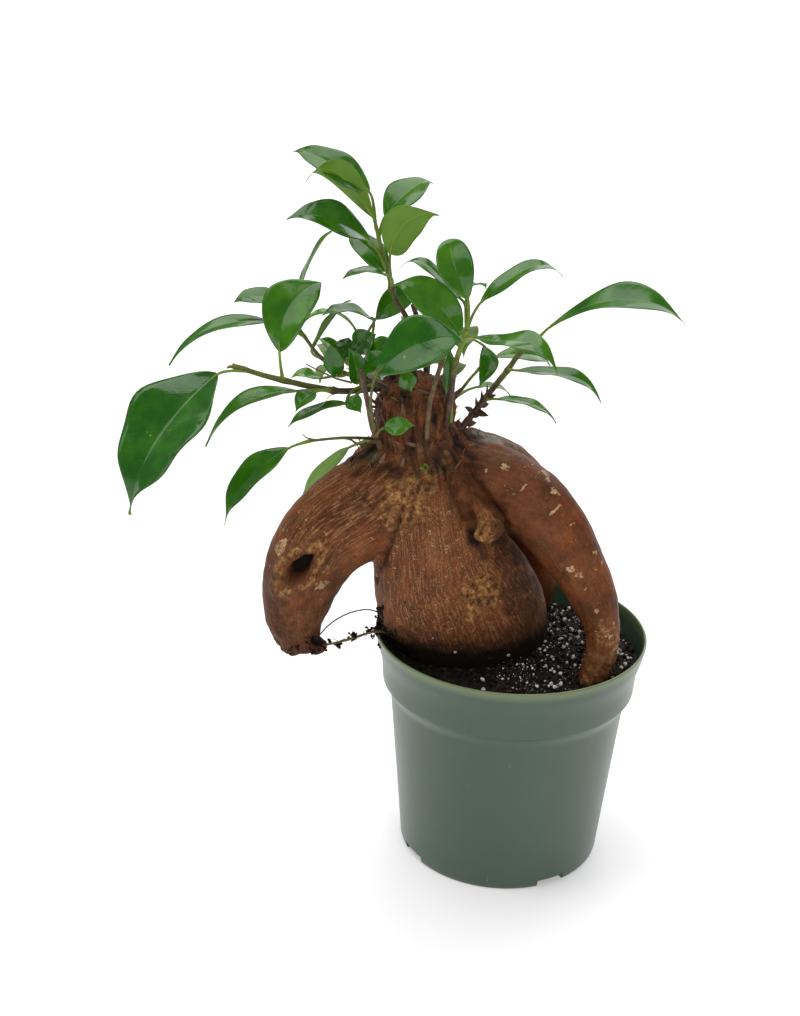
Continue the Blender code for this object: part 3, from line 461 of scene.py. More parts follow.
def put_in_scene(name, data):
    item = bpy.data.objects.new(name, data)
    bpy.context.scene.collection.objects.link(item)
    return item


def build_camera():
    right, up, back = camera_axes()
    data = bpy.data.cameras.new("camera")
    data.sensor_width = SENSOR
    data.lens = FOCAL / PICTURE[1] * SENSOR
    camera = put_in_scene("camera", data)
    place = (Vector(AIM) + back * DISTANCE) * MM
    camera.matrix_world = Matrix.Translation(place) @ Matrix((right, up, back)).transposed().to_4x4()
    bpy.context.scene.camera = camera


def cast(tree, u, v):
    """The point, in millimetres, where the photograph's pixel meets the tree's surface, or None."""
    right, up, back = camera_axes()
    origin = Vector(AIM) + back * DISTANCE
    ray = right * ((u - PICTURE[0] / 2) / FOCAL) - up * ((v - PICTURE[1] / 2) / FOCAL) - back
    hit = tree.ray_cast(origin, ray.normalized())[0]
    return None if hit is None else np.array(hit)


def add_sun(name, toward, spread, power, colour):
    """A soft sun in the direction toward, this many degrees wide."""
    data = bpy.data.lights.new(name, "SUN")
    data.angle = math.radians(spread)
    data.energy = power
    data.color = colour
    light = put_in_scene(name, data)
    light.rotation_euler = Vector(toward).to_track_quat("Z", "Y").to_euler()


def build_stage():
    bpy.context.scene.view_settings.view_transform = "Standard"
    world = bpy.data.worlds.new("world")
    world.use_nodes = True
    nodes = world.node_tree.nodes
    links = world.node_tree.links
    sky = nodes["Background"]
    white = nodes.new("ShaderNodeBackground")
    for node, colour, strength in ((sky, SKY_COLOUR, SKY), (white, BACKDROP, 1.0)):
        node.inputs["Color"].default_value = colour
        node.inputs["Strength"].default_value = strength
    mix = nodes.new("ShaderNodeMixShader")
    links.new(nodes.new("ShaderNodeLightPath").outputs["Is Camera Ray"], mix.inputs["Fac"])
    links.new(sky.outputs[0], mix.inputs[1])
    links.new(white.outputs[0], mix.inputs[2])
    links.new(mix.outputs[0], nodes["World Output"].inputs["Surface"])
    bpy.context.scene.world = world
    for sun in SUNS:
        add_sun(*sun)
    bpy.ops.mesh.primitive_plane_add(size=FLOOR_SIZE)
    floor = bpy.context.object
    floor.name = "floor"
    paint = Paint("floor")
    for socket, value in (("Base Color", FLOOR_COLOUR), ("Roughness", 0.7), ("Emission Color", (*WHITE, 1)),
                          ("Emission Strength", FLOOR_GLOW)):
        paint.put(socket, value)
    floor.data.materials.append(paint.material)


# Paints

class Paint:
    """A Principled material with short calls for the nodes that the paints share."""

    def __init__(self, name, specular=0.5):
        self.material = bpy.data.materials.new(name)
        self.material.use_nodes = True
        self.nodes = self.material.node_tree.nodes
        self.links = self.material.node_tree.links
        self.shader = self.nodes["Principled BSDF"]
        self.put("Specular IOR Level", specular)
        self.place = self.node("TexCoord").outputs["Object"]

    def plug(self, socket, value):
        if isinstance(value, bpy.types.NodeSocket):
            self.links.new(value, socket)
        elif value is not None:
            socket.default_value = value

    def put(self, socket, value):
        self.plug(self.shader.inputs[socket], value)

    def done(self, colour, roughness, normal):
        """Plugs in the last three channels and gives the material."""
        self.put("Base Color", colour)
        self.put("Roughness", roughness)
        self.put("Normal", normal)
        return self.material

    def node(self, kind, *values):
        """A new node with these values or links in its first sockets."""
        node = self.nodes.new("ShaderNode" + kind)
        for socket, value in zip(node.inputs, values):
            self.plug(socket, value)
        return node

    def attribute(self, name, output="Vector"):
        node = self.node("Attribute")
        node.attribute_name = name
        return node.outputs[output]

    def stretch(self, vector, scale):
        node = self.node("VectorMath", vector, scale)
        node.operation = "MULTIPLY"
        return node.outputs[0]

    def split(self, vector):
        return self.node("SeparateXYZ", vector).outputs

    def noise(self, vector, scale, detail, roughness, distortion=0.0):
        node = self.node("TexNoise", vector)
        for socket, value in (("Scale", scale), ("Detail", detail), ("Roughness", roughness),
                              ("Distortion", distortion)):
            node.inputs[socket].default_value = value
        return node.outputs[0]

    def math(self, operation, *values):
        node = self.node("Math", *values)
        node.operation = operation
        return node.outputs[0]

    def times(self, first, second):
        return self.math("MULTIPLY", first, second)

    def scaled(self, value, factor, offset):
        """The value times a factor, plus an offset."""
        return self.math("MULTIPLY_ADD", value, factor, offset)

    def ramp(self, value, *stops):
        """Maps a value through stops of (place, grey or colour)."""
        node = self.node("ValToRGB", value)
        line = node.color_ramp
        while len(line.elements) < len(stops):
            line.elements.new(0.5)
        for element, (place, colour) in zip(line.elements, stops):
            element.position = place
            element.color = (*colour, 1) if isinstance(colour, tuple) else (colour, colour, colour, 1)
        return node.outputs[0]

    def above(self, value, low, high):
        """0 where the value is below low, 1 where it is above high."""
        return self.ramp(value, (low, 0.0), (high, 1.0))

    def mix(self, share, first, second, mode="MIX"):
        node = self.node("Mix", share)
        node.data_type = "RGBA"
        node.blend_type = mode
        for socket, value in ((node.inputs[6], first), (node.inputs[7], second)):
            self.plug(socket, (*value, 1) if isinstance(value, tuple) and len(value) == 3 else value)
        return node.outputs[2]

    def coat(self, base, mask, share, colour):
        """Lays a colour over the base by a share of the mask."""
        return self.mix(self.times(mask, share), base, colour)

    def ragged(self, mask, grain, reach, low, high):
        """A smooth mask with its edges broken up by a noise."""
        pushed = self.scaled(self.math("SUBTRACT", grain, 0.5), reach, mask)
        return self.times(self.above(pushed, low, high), self.above(mask, 0.02, 0.15))

    def bump(self, height, strength, distance, below=None):
        node = self.node("Bump", strength, distance)
        self.plug(node.inputs["Height"], height)
        self.plug(node.inputs["Normal"], below)
        return node.outputs[0]


def paint_bark():
    paint = Paint("bark", 0.17)
    grain = paint.attribute("grain")
    tan, dark, pale = paint.split(paint.attribute("marks"))
    striped, rough, moss = paint.split(paint.attribute("bark"))
    tone = paint.noise(paint.place, 60, 4, 0.6)
    fibre = paint.noise(paint.stretch(grain, (1.6, 1.6, 0.15)), 1.0, 3, 0.62, 0.8)
    thread = paint.noise(paint.stretch(grain, (2.8, 2.8, 0.3)), 1.0, 2, 0.6, 0.5)
    fleck = paint.noise(paint.place, 900, 2, 0.7)
    crumb = paint.noise(paint.place, 420, 3, 0.7)
    hue = paint.noise(paint.place, 140, 3, 0.6)

    base = paint.ramp(tone, (0.3, (0.080, 0.023, 0.007)), (0.5, (0.150, 0.046, 0.014)),
                      (0.72, (0.235, 0.082, 0.025)))
    hue = paint.ramp(hue, (0.36, (1.15, 0.96, 0.85)), (0.5, (1.0, 1.0, 1.0)), (0.64, (0.72, 0.78, 0.76)))
    base = paint.mix(1.0, base, hue, "MULTIPLY")
    grit = paint.ramp(fleck, (0.3, (0.75, 0.72, 0.7)), (0.7, (1.2, 1.2, 1.22)))
    base = paint.mix(1.0, base, grit, "MULTIPLY")
    light = paint.times(paint.above(fibre, 0.49, 0.62), striped)
    base = paint.coat(base, light, 0.8, (0.36, 0.165, 0.065))
    lines = paint.times(paint.ramp(thread, (0.36, 1.0), (0.49, 0.0)), paint.scaled(striped, 0.7, 0.2))
    base = paint.coat(base, lines, 0.7, (0.038, 0.014, 0.006))
    dash = paint.noise(paint.stretch(grain, (0.4, 0.4, 1.7)), 1.0, 2, 0.5, 0.3)
    dash = paint.above(paint.scaled(paint.attribute("rows", "Fac"), 0.07, dash), 0.68, 0.71)
    base = paint.coat(base, dash, striped, (0.42, 0.25, 0.14))

    golden = paint.ramp(crumb, (0.36, (0.045, 0.017, 0.006)), (0.5, (0.24, 0.098, 0.028)),
                        (0.68, (0.50, 0.265, 0.095)))
    golden = paint.coat(golden, lines, 0.8, (0.05, 0.02, 0.007))
    break_up = paint.scaled(paint.math("SUBTRACT", fibre, crumb), striped, crumb)
    base = paint.mix(paint.ragged(tan, break_up, 1.3, 0.3, 0.85), base, golden)
    lichen = paint.ramp(crumb, (0.35, (0.035, 0.028, 0.012)), (0.66, (0.25, 0.22, 0.14)))
    base = paint.mix(paint.ragged(moss, fleck, 0.8, 0.3, 0.8), base, lichen)
    flake = paint.ramp(crumb, (0.3, (0.32, 0.16, 0.07)), (0.7, (0.62, 0.42, 0.24)))
    base = paint.mix(paint.ragged(pale, fleck, 1.9, 0.5, 0.66), base, flake)
    spot = paint.above(paint.noise(paint.place, 1300, 1, 0.5), 0.71, 0.76)
    base = paint.coat(base, spot, 0.4, (0.4, 0.24, 0.14))
    # The dark mask darkens the bark's own dark places and lays painted shade in its crevices, hollows and
    # shaded sides
    base = paint.mix(paint.ragged(dark, crumb, 0.6, 0.2, 0.8), base, (0.012, 0.007, 0.004))

    shine = paint.scaled(striped, 0.16, paint.scaled(tone, 0.2, 0.36))
    low = paint.bump(paint.times(fibre, lines), 0.5, 0.0008)
    middle = paint.bump(thread, 0.35, 0.0004, low)
    high = paint.bump(paint.times(crumb, rough), 0.9, 0.0012, middle)
    return paint.done(base, paint.scaled(dark, 0.3, shine), high)


def paint_leaf():
    paint = Paint("leaf", 0.48)
    along, across, edge = paint.split(paint.attribute("blade"))
    under, youth, seed = paint.split(paint.attribute("leaf"))
    side = paint.math("ABSOLUTE", across)
    slant = paint.math("SUBTRACT", along, paint.times(side, 0.75))
    vein = paint.ramp(paint.math("PINGPONG", slant, 1.3), (0.0, 1.0), (0.25, 0.0))
    rib = paint.ramp(side, (0.10, 1.0), (0.34, 0.0))
    rim = paint.above(edge, 0.95, 1.0)
    fleck = paint.above(paint.noise(paint.place, 420, 2, 0.6), 0.72, 0.78)
    mottle = paint.noise(paint.place, 110, 3, 0.55)

    dark = paint.mix(youth, (0.009, 0.078, 0.001), (0.055, 0.20, 0.003))
    bright = paint.mix(youth, (0.024, 0.132, 0.002), (0.13, 0.33, 0.006))
    top = paint.mix(paint.above(mottle, 0.38, 0.66), dark, bright)
    for mask, share, colour in (
        (seed, 0.3, (0.010, 0.085, 0.008)), (vein, 0.05, (0.09, 0.22, 0.03)), (rib, 0.08, (0.09, 0.22, 0.02)),
        (rim, 0.2, (0.16, 0.30, 0.05)), (fleck, 0.5, (0.36, 0.38, 0.05)),
    ):
        top = paint.coat(top, mask, share, colour)
    below = paint.mix(mottle, (0.066, 0.165, 0.003), (0.13, 0.26, 0.008))
    below = paint.coat(below, vein, 0.12, (0.13, 0.24, 0.04))
    below = paint.coat(below, rib, 0.5, (0.17, 0.28, 0.03))
    gloss = paint.scaled(under, 0.42, paint.scaled(mottle, 0.12, 0.09))
    relief = paint.scaled(vein, -0.03, mottle)
    return paint.done(paint.mix(under, top, below), gloss, paint.bump(relief, 0.3, 0.0008))


def paint_twig():
    paint = Paint("twig", 0.4)
    green, faded, _ = paint.split(paint.attribute("twig"))
    mottle = paint.noise(paint.place, 320, 3, 0.65)
    brown = paint.ramp(mottle, (0.3, (0.020, 0.009, 0.004)), (0.5, (0.055, 0.026, 0.011)),
                       (0.72, (0.13, 0.072, 0.032)))
    straw = paint.ramp(mottle, (0.3, (0.085, 0.042, 0.014)), (0.7, (0.30, 0.185, 0.075)))
    lime = paint.ramp(mottle, (0.3, (0.11, 0.19, 0.012)), (0.7, (0.21, 0.31, 0.025)))
    base = paint.mix(green, paint.mix(faded, brown, straw), lime)
    relief = paint.noise(paint.place, 900, 3, 0.6)
    return paint.done(base, paint.scaled(mottle, 0.3, 0.35), paint.bump(relief, 0.5, 0.0003))


def paint_pot():
    paint = Paint("pot", 0.68)
    cloud = paint.noise(paint.place, 18, 3, 0.6)
    scuff = paint.noise(paint.stretch(paint.place, (40, 40, 600)), 1.0, 4, 0.7, 0.8)
    scratch = paint.noise(paint.stretch(paint.place, (900, 900, 90)), 1.0, 2, 0.6, 0.5)
    dust = paint.noise(paint.place, 1100, 2, 0.6)
    height = paint.split(paint.place)[2]
    # A thin band of painted shade just under the collar's ledge
    ledge_shade = paint.ramp(height, (0.0751, 0.0), (0.0757, 1.0), (0.0761, 1.0), (0.0764, 0.0))
    base = paint.ramp(cloud, (0.3, (0.029, 0.064, 0.035)), (0.7, (0.037, 0.076, 0.042)))
    for mask, share, colour in (
        (paint.above(scuff, 0.70, 0.78), 0.18, (0.22, 0.27, 0.22)),
        (paint.above(scratch, 0.73, 0.77), 0.15, (0.4, 0.46, 0.4)),
        (paint.above(dust, 0.74, 0.79), 0.35, (0.03, 0.022, 0.015)),
        # painted highlight along the lip
        (paint.above(height, 0.0972, 0.0978), 0.85, (0.19, 0.25, 0.10)),
        # painted shade under the ledge
        (ledge_shade, 0.65, (0.012, 0.026, 0.015)),
        # painted shade on the inner wall
        (paint.attribute("inside", "Fac"), 0.5, (0.014, 0.030, 0.016)),
    ):
        base = paint.coat(base, mask, share, colour)
    dents = paint.bump(paint.noise(paint.place, 260, 3, 0.55), 0.06, 0.0005)
    return paint.done(base, paint.scaled(cloud, 0.12, 0.27), dents)


def paint_peat():
    paint = Paint("peat", 0.15)
    lump = paint.noise(paint.place, 500, 4, 0.7)
    base = paint.ramp(lump, (0.3, (0.003, 0.002, 0.002)), (0.54, (0.011, 0.007, 0.005)),
                      (0.74, (0.085, 0.046, 0.028)))
    return paint.done(base, paint.scaled(lump, 0.5, 0.45), paint.bump(lump, 1.0, 0.0012))


def paint_perlite():
    paint = Paint("perlite")
    pit = paint.noise(paint.place, 1500, 3, 0.6)
    base = paint.ramp(pit, (0.34, (0.22, 0.18, 0.15)), (0.48, (0.60, 0.57, 0.52)), (0.66, (0.95, 0.93, 0.90)))
    return paint.done(base, 0.8, paint.bump(pit, 0.9, 0.0006))


def paint_scales():
    paint = Paint("bract")
    faded = paint.split(paint.attribute("twig"))[1]
    mottle = paint.noise(paint.place, 500, 3, 0.6)
    brown = paint.ramp(mottle, (0.3, (0.016, 0.006, 0.004)), (0.7, (0.085, 0.036, 0.017)))
    return paint.done(paint.mix(faded, brown, (0.33, 0.20, 0.09)), 0.65, paint.bump(mottle, 0.6, 0.0004))


# Mesh building

def spline(points, count):
    """A smooth curve through the points, read at evenly spaced shares of its spans."""
    pts = [np.array(point, float) for point in points]
    pts = [2 * pts[0] - pts[1]] + pts + [2 * pts[-1] - pts[-2]]
    spans = len(pts) - 3
    places = []
    for i in range(count + 1):
        place = i / count * spans
        k = min(int(place), spans - 1)
        t = place - k
        a, b, c, d = pts[k:k + 4]
        places.append(0.5 * (2 * b + (c - a) * t + (2 * a - 5 * b + 4 * c - d) * t**2
                             + (3 * b - a - 3 * c + d) * t**3))
    return np.array(places)


def unit(vector):
    return vector / np.linalg.norm(vector)


def gaps_to(points, place):
    """Distance of each point from a place."""
    return np.linalg.norm(points - place, axis=1)


def hill(value, middle, width):
    """1 where the value is the middle one, falling to 0 on both sides."""
    return np.exp(-(((value - middle) / width) ** 2))


def step(value, low, high):
    """Smooth step from 0 at low to 1 at high."""
    share = np.clip((value - low) / (high - low), 0, 1)
    return share * share * (3 - 2 * share)


def noise_at(points, size, seed=0.0):
    """Gradient noise from -1 to 1 at each point, with lumps of about this size."""
    scaled = np.asarray(points) / size + seed
    return np.array([noise.noise(point) for point in scaled.tolist()])


def frames(line, side=None):
    """Tangent and two side directions along a line, with as little twist as possible."""
    tangents = np.gradient(line, axis=0)
    tangents /= np.linalg.norm(tangents, axis=1)[:, None]
    if side is None:
        side = unit(np.cross(tangents[0], (0.31, 0.12, 0.94) if abs(tangents[0][2]) < 0.9 else (1, 0.1, 0)))
    sides = []
    for tangent in tangents:
        side = unit(side - tangent * side.dot(tangent))
        sides.append(side)
    sides = np.array(sides)
    return tangents, sides, np.cross(tangents, sides)


class Pile:
    """Vertices, faces and values per vertex, gathered for one mesh. Points are in millimetres."""

    def __init__(self):
        self.points = []
        self.faces = []
        self.values = {}
        self.count = 0

    def add(self, points, faces, **values):
        points = np.asarray(points, float)
        self.points.append(points)
        self.faces += [tuple(self.count + corner for corner in face) for face in faces]
        self.count += len(points)
        for name, value in values.items():
            whole = np.broadcast_to(np.asarray(value, float), (len(points), 3))
            self.values.setdefault(name, []).append(whole)

    def tube(self, line, radii, sides, flat=1.0, side=None, **values):
        """A closed tube, flattened by a factor. Values may be one triple or one for each ring."""
        line = np.asarray(line, float)
        radii = np.broadcast_to(np.asarray(radii, float), (len(line),))
        _, first, second = frames(line, side)
        turn = np.arange(sides) * 2 * math.pi / sides
        spokes = (first[:, None] * np.cos(turn)[None, :, None]
                  + second[:, None] * np.sin(turn)[None, :, None] * flat)
        rings = line[:, None] + radii[:, None, None] * spokes
        points = np.concatenate([rings.reshape(-1, 3), line[:1], line[-1:]])
        foot = len(line) * sides
        last = foot - sides
        faces = []
        for start in range(0, last, sides):
            for j in range(sides):
                k = (j + 1) % sides
                faces.append((start + j, start + k, start + sides + k, start + sides + j))
        for j in range(sides):
            k = (j + 1) % sides
            faces.append((foot, k, j))
            faces.append((foot + 1, last + j, last + k))
        spread = {}
        for name, value in values.items():
            value = np.asarray(value, float)
            if value.ndim == 2:
                value = np.concatenate([np.repeat(value, sides, axis=0), value[:1], value[-1:]])
            spread[name] = value
        self.add(points, faces, **spread)

    def build(self, name, paint):
        mesh = bpy.data.meshes.new(name)
        mesh.from_pydata((np.concatenate(self.points) * MM).tolist(), [], self.faces)
        for key, value in self.values.items():
            store(mesh, key, np.concatenate(value))
        mesh.materials.append(paint)
        mesh.shade_smooth()
        return put_in_scene(name, mesh)

    def place(self, name, paint, slot, node):
        """Builds the mesh, hangs it from the root body and hides the node of the solids that it stands for;
        the slot is not used.
        """
        place_piece(self.build(name, paint), slot, node)


def store(mesh, name, values):
    kind, field = ("FLOAT_VECTOR", "vector") if values.ndim == 2 else ("FLOAT", "value")
    mesh.attributes.new(name, kind, "POINT").data.foreach_set(field, values.astype(np.float32).ravel())


def baked(item):
    """Replaces the object's mesh with the one that its modifiers make."""
    bpy.context.view_layer.update()
    graph = bpy.context.evaluated_depsgraph_get()
    mesh = bpy.data.meshes.new_from_object(item.evaluated_get(graph))
    item.modifiers.clear()
    item.data = mesh


def place_piece(piece, slot, *nodes):
    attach(piece, "root")
    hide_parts(*nodes)


def read_points(mesh, field="co"):
    points = np.zeros(len(mesh.vertices) * 3, np.float32)
    mesh.vertices.foreach_get(field, points)
    return points.reshape(-1, 3).astype(float)


def read_faces(mesh):
    return [tuple(face.vertices) for face in mesh.polygons]


# Roots and trunk

def root_lines():
    """Each root's squeeze, and its centres and radii before the squeeze."""
    for name, line in ROOTS.items():
        squeeze = np.array((1, BULB_DEPTH if name == "bulb" else 1, 1))
        places = spline(line, ROOT_SAMPLES)
        yield squeeze, places[:, :3] / squeeze, places[:, 3]


def grow_roots():
    """The smooth joined shape of all roots, as an object."""
    pile = Pile()
    for squeeze, centres, radii in root_lines():
        part = Pile()
        part.tube(centres, radii, ROOT_SIDES)
        pile.add(part.points[0] * squeeze, part.faces)
    roots = pile.build("roots", None)
    remesh = roots.modifiers.new("Grow together", "REMESH")
    remesh.mode = "VOXEL"
    remesh.voxel_size = VOXEL * MM
    smooth = roots.modifiers.new("Smooth", "SMOOTH")
    smooth.iterations = SMOOTHING
    baked(roots)
    return roots


def read_grain(points):
    """For each point: its place in the straightened frame of the root it lies on, how clearly it lies on
    that root alone, and which root that is."""
    count = len(points)
    nearest = np.full(count, 1e9)
    second = np.full(count, 1e9)
    grain = np.zeros((count, 3))
    owner = np.zeros(count, int)
    for index, (squeeze, centres, radii) in enumerate(root_lines()):
        tangents, first, other = frames(centres)
        arc = np.concatenate([[0], np.cumsum(np.linalg.norm(np.diff(centres, axis=0), axis=1))])
        here = points / squeeze
        gaps = np.full(count, 1e9)
        near = np.zeros(count, int)
        for k, (centre, radius) in enumerate(zip(centres, radii)):
            gap = gaps_to(here, centre) - radius
            closer = gap < gaps
            gaps[closer] = gap[closer]
            near[closer] = k
        offset = here - centres[near]
        scale = (radii.max() * 0.9 / radii[near])[:, None]
        local = np.stack([(offset * first[near]).sum(1), (offset * other[near]).sum(1)], 1) * scale
        slide = arc[near] + (offset * tangents[near]).sum(1)
        mine = gaps < nearest
        second = np.where(mine, nearest, np.minimum(second, gaps))
        nearest = np.where(mine, gaps, nearest)
        owner[mine] = index
        grain[mine] = np.column_stack([local + GRAIN_SHIFT * index, slide])[mine]
    return grain, step(second - nearest, 0.0, GRAIN_CLEAR), owner


def spread_marks(points, tree, marks, wobble):
    """Strength of a list of round marks at each point, with uneven edges."""
    strength = np.zeros(len(points))
    for u, v, radius, most in marks:
        middle = cast(tree, u, v)
        if middle is not None:
            away = gaps_to(points, middle) / (radius * (1 + 0.7 * wobble))
            strength = np.maximum(strength, most * (1 - step(away, 0.65, 1.1)))
    return strength


def gaps_to_run(points, start, end):
    """Distance of each point from the straight line between two ends."""
    run = end - start
    share = np.clip(((points - start) @ run) / (run @ run), 0, 1)
    return gaps_to(points, start + share[:, None] * run)


def near_line(points, tree, line, width):
    """1 on a line through pixels of the photograph, falling to 0 beside it."""
    stops = [cast(tree, u, v) for u, v in line]
    away = np.min([gaps_to_run(points, start, end) for start, end in zip(stops, stops[1:])], axis=0)
    return hill(away, 0, width)


def spread_scratches(points, tree):
    strength = np.zeros(len(points))
    for u, v, far_u, far_v, half, most in SCRATCHES:
        start, end = cast(tree, u, v), cast(tree, far_u, far_v)
        if start is not None and end is not None:
            away = gaps_to_run(points, start, end)
            strength = np.maximum(strength, most * (1 - step(away, 0.6 * half, half + 0.45)))
    return strength


def read_zones(points, fade, owner):
    """How far each point lies in each zone of the roots."""
    names = list(ROOTS)
    height = points[:, 2]
    zones = {
        "all": 1.0, "clear": fade, "bulb": owner == names.index("bulb"),
        "trunk": np.clip((height - TRUNK_FOOT) / TRUNK_BLEND, 0, 1),
        "neck": step(height, *NECK_FOOT) * (1 - step(points[:, 0], *NECK_RIGHT)),
        "smooth": np.isin(owner, [names.index("right"), names.index("back_right")]),
    }
    for zone, (roots, low, high) in ZONES.items():
        zones[zone] = np.isin(owner, [names.index(root) for root in roots]) * (1 - step(height, low, high))
    return zones


def read_knob(points, tree, wobble):
    """How far each point lies on the knob, on its right side and in the hollow under it. The right side and
    the hollow also carry painted shade.
    """
    middle = cast(tree, *KNOB_UV)
    reach = gaps_to(points, middle) * (1 + 0.1 * wobble)
    knob = 1 - step(reach, 0.7 * KNOB_RADIUS, 1.15 * KNOB_RADIUS)
    right = knob * step(points[:, 0] - middle[0], -1.2, 0.8)
    return knob, right, hill(reach, 1.5 * KNOB_RADIUS, 2.2) * step(middle[2] - points[:, 2], -6, 2)


def read_wound(points, normals, tree, wobble):
    """How far each point lies in the wound's hole and on the swollen ring round it."""
    away = points - cast(tree, *WOUND_UV)
    across, along = math.sin(WOUND_SLANT), math.cos(WOUND_SLANT)
    sides = (away @ np.array((along, 0, across)), away @ np.array((-across, 0, along)))
    reach = sum((np.abs(side) / half) ** WOUND_POWER for side, half in zip(sides, WOUND_HALF))
    reach = reach ** (1 / WOUND_POWER)
    reach = np.where((np.linalg.norm(away, axis=1) < WOUND_LIMIT) & (normals[:, 1] < 0.1), reach, 9)
    reach = reach * (1 + 0.16 * wobble)
    return 1 - step(reach, 0.62, 1.05), hill(reach, 1.75, 0.5)


def build_caudex():
    """Grows the roots and the trunk, with their relief and marks, and gives the surface to cast on."""
    roots = grow_roots()
    mesh = roots.data
    points = read_points(mesh) / MM
    normals = read_points(mesh, "normal")
    faces = read_faces(mesh)
    tree = BVHTree.FromPolygons(points.tolist(), faces)
    grain, fade, owner = read_grain(points)
    zones = read_zones(points, fade, owner)
    neck, trunk, left_low, left_shade = (zones[name] for name in ("neck", "trunk", "left_low", "left_shade"))
    wobble = noise_at(points, 3.2, 9.3)
    lumps = noise_at(points, 2.4, 4.4)
    ridges = noise_at(grain, (1.7, 1.7, 11.0), 5.5)
    knob, knob_right, under_knob = read_knob(points, tree, wobble)
    hole, ring = read_wound(points, normals, tree, wobble)

    relief = knob * (KNOB_HEIGHT + 0.9 * lumps) - 0.8 * under_knob + 1.5 * ring * (0.7 + 0.6 * wobble)
    relief += neck * trunk * 0.8 * ridges
    for zone, rise, along, size, seed in RELIEF:
        relief += rise * zones[zone] * noise_at(grain if along else points, size, seed)
    wobbly_height = points[:, 2] + 3.0 * wobble
    # The bark's own darker places and painted shade, gathered into one mask
    darks_and_shades = [
        # painted shade low on the bulb, fading out upwards
        0.88 * (1 - step(wobbly_height, SOIL_LINE + 2, BULB_SHADE_TOP)) * zones["bulb"],
        # darker bark at and below the soil line
        0.97 * (1 - step(wobbly_height, SOIL_LINE - 4, SOIL_LINE + 3)),
        0.75 * zones["left_end"] * (0.6 + 0.8 * noise_at(points, 5.0, 1.1)).clip(0, 1),
        # painted shade from the shade marks
        spread_marks(points, tree, SHADE_MARKS, wobble),
        left_shade * (0.42 + 0.3 * noise_at(points, 6.0, 4.1)) * (1 - ring),
        neck * (0.44 + 0.5 * noise_at(points, 5.0, 7.7) - 0.45 * ridges),
        # painted shade in the wound's hollow, among the knob's lumps, on the knob's right side and in the
        # hollow under it
        0.9 * hole, 0.5 * knob * step(lumps, -0.1, -0.3), 0.55 * knob_right, 0.8 * under_knob,
    ]
    # The creases are cut in and darkened with painted shade
    for line, width, depth, shade in GROOVES:
        cut = near_line(points, tree, line, width)
        relief -= depth * cut * (1 + 0.35 * wobble)
        darks_and_shades.append(shade * cut)
    # The pits are sunk in and darkened with painted shade
    for u, v, radius, depth in PITS:
        pit = 1 - step(gaps_to(points, cast(tree, u, v)) * (1 + 0.3 * wobble), radius * 0.4, radius)
        relief -= depth * pit
        darks_and_shades.append(pit)
    dark = np.maximum.reduce(darks_and_shades)
    streak = 0.8 + 0.45 * noise_at(grain, (1.6, 1.6, 14.0), 2.2)
    tan = spread_marks(points, tree, TAN_MARKS, wobble) * streak
    tan = np.maximum(tan, 0.85 * ring * (1 + wobble) * (1 - hole))
    tan = np.maximum.reduce([
        tan * (1 - under_knob), 0.95 * (knob - knob_right) + 0.3 * knob_right,
        0.28 * left_low * (1 + noise_at(points, 5.0, 5.5)),
        0.55 * neck * step(noise_at(points, 3.0, 3.3), 0.15, 0.55),
    ])
    flakes = [(u, v, 0.85 * radius, 0.7 * most) for u, v, radius, most in PALE_MARKS]
    pale = np.maximum(spread_marks(points, tree, flakes, wobble), spread_scratches(points, tree)) * (1 - hole)
    striped = fade * (1 - 0.4 * trunk) * np.where(zones["smooth"], 0.18, 1.0) * (1 - 0.72 * left_shade)
    rough = 0.12 + tan + neck + left_low * 0.5 + knob
    moss = spread_marks(points, tree, MOSS_MARKS, wobble)
    rows = np.max([near_line(points, tree, row, DASH_WIDTH) for row in DASH_ROWS], axis=0)

    points = points + normals * relief[:, None] + np.array(WOUND_INWARD) * (WOUND_DEPTH * hole)[:, None]
    mesh.vertices.foreach_set("co", (points * MM).astype(np.float32).ravel())
    mesh.update()
    store(mesh, "grain", grain)
    store(mesh, "rows", rows)
    store(mesh, "bark", np.clip(np.column_stack([striped, rough, moss]), 0, 1))
    store(mesh, "marks", np.clip(np.column_stack([tan, dark, pale]), 0, 1))
    mesh.materials.clear()
    mesh.materials.append(paint_bark())
    mesh.shade_smooth()
    roots.name = "caudex_bark"
    place_piece(roots, "bark", "caudex")
    return BVHTree.FromPolygons(points.tolist(), faces)


def inside(tree, point, margin):
    """True where the point lies in the roots or nearer to them than the margin."""
    found, normal, _, away = tree.find_nearest(Vector(point))
    return away < margin or (Vector(point) - found).dot(normal) < 0


# Leaves and stems

def midrib(leaf, share):
    """Point of the midrib at a share of the blade's length, and the blade's side and face directions."""
    base, tip, face = (np.array(value, float) for value in (leaf.base, leaf.tip, leaf.face))
    chord = tip - base
    length = np.linalg.norm(chord)
    along = chord / length
    normal = unit(face - along * face.dot(along))
    side = np.cross(along, normal)
    lift = leaf.bow * 4 * share * (1 - share) + leaf.hook * 2.1 * (share - share**4)
    drift = leaf.sway * 4 * share * (1 - share)
    return base + chord * share + (normal * lift + side * drift) * length, side, normal


def half_width(leaf, share):
    """Half the width of an ovate blade. A higher peak widens it near the tip, and blunt rounds the tip."""
    swell = math.sin(math.pi * share**leaf.peak) ** (0.8 - 0.25 * leaf.blunt) if 0 < share < 1 else 0
    draw_out = (1 - leaf.blunt) * (0.25 * share**6 + 0.4 * float(step(share, 0.8, 1.0)))
    return max(leaf.width / 2 * swell * (1 - draw_out), 0.42 - 0.22 * share)


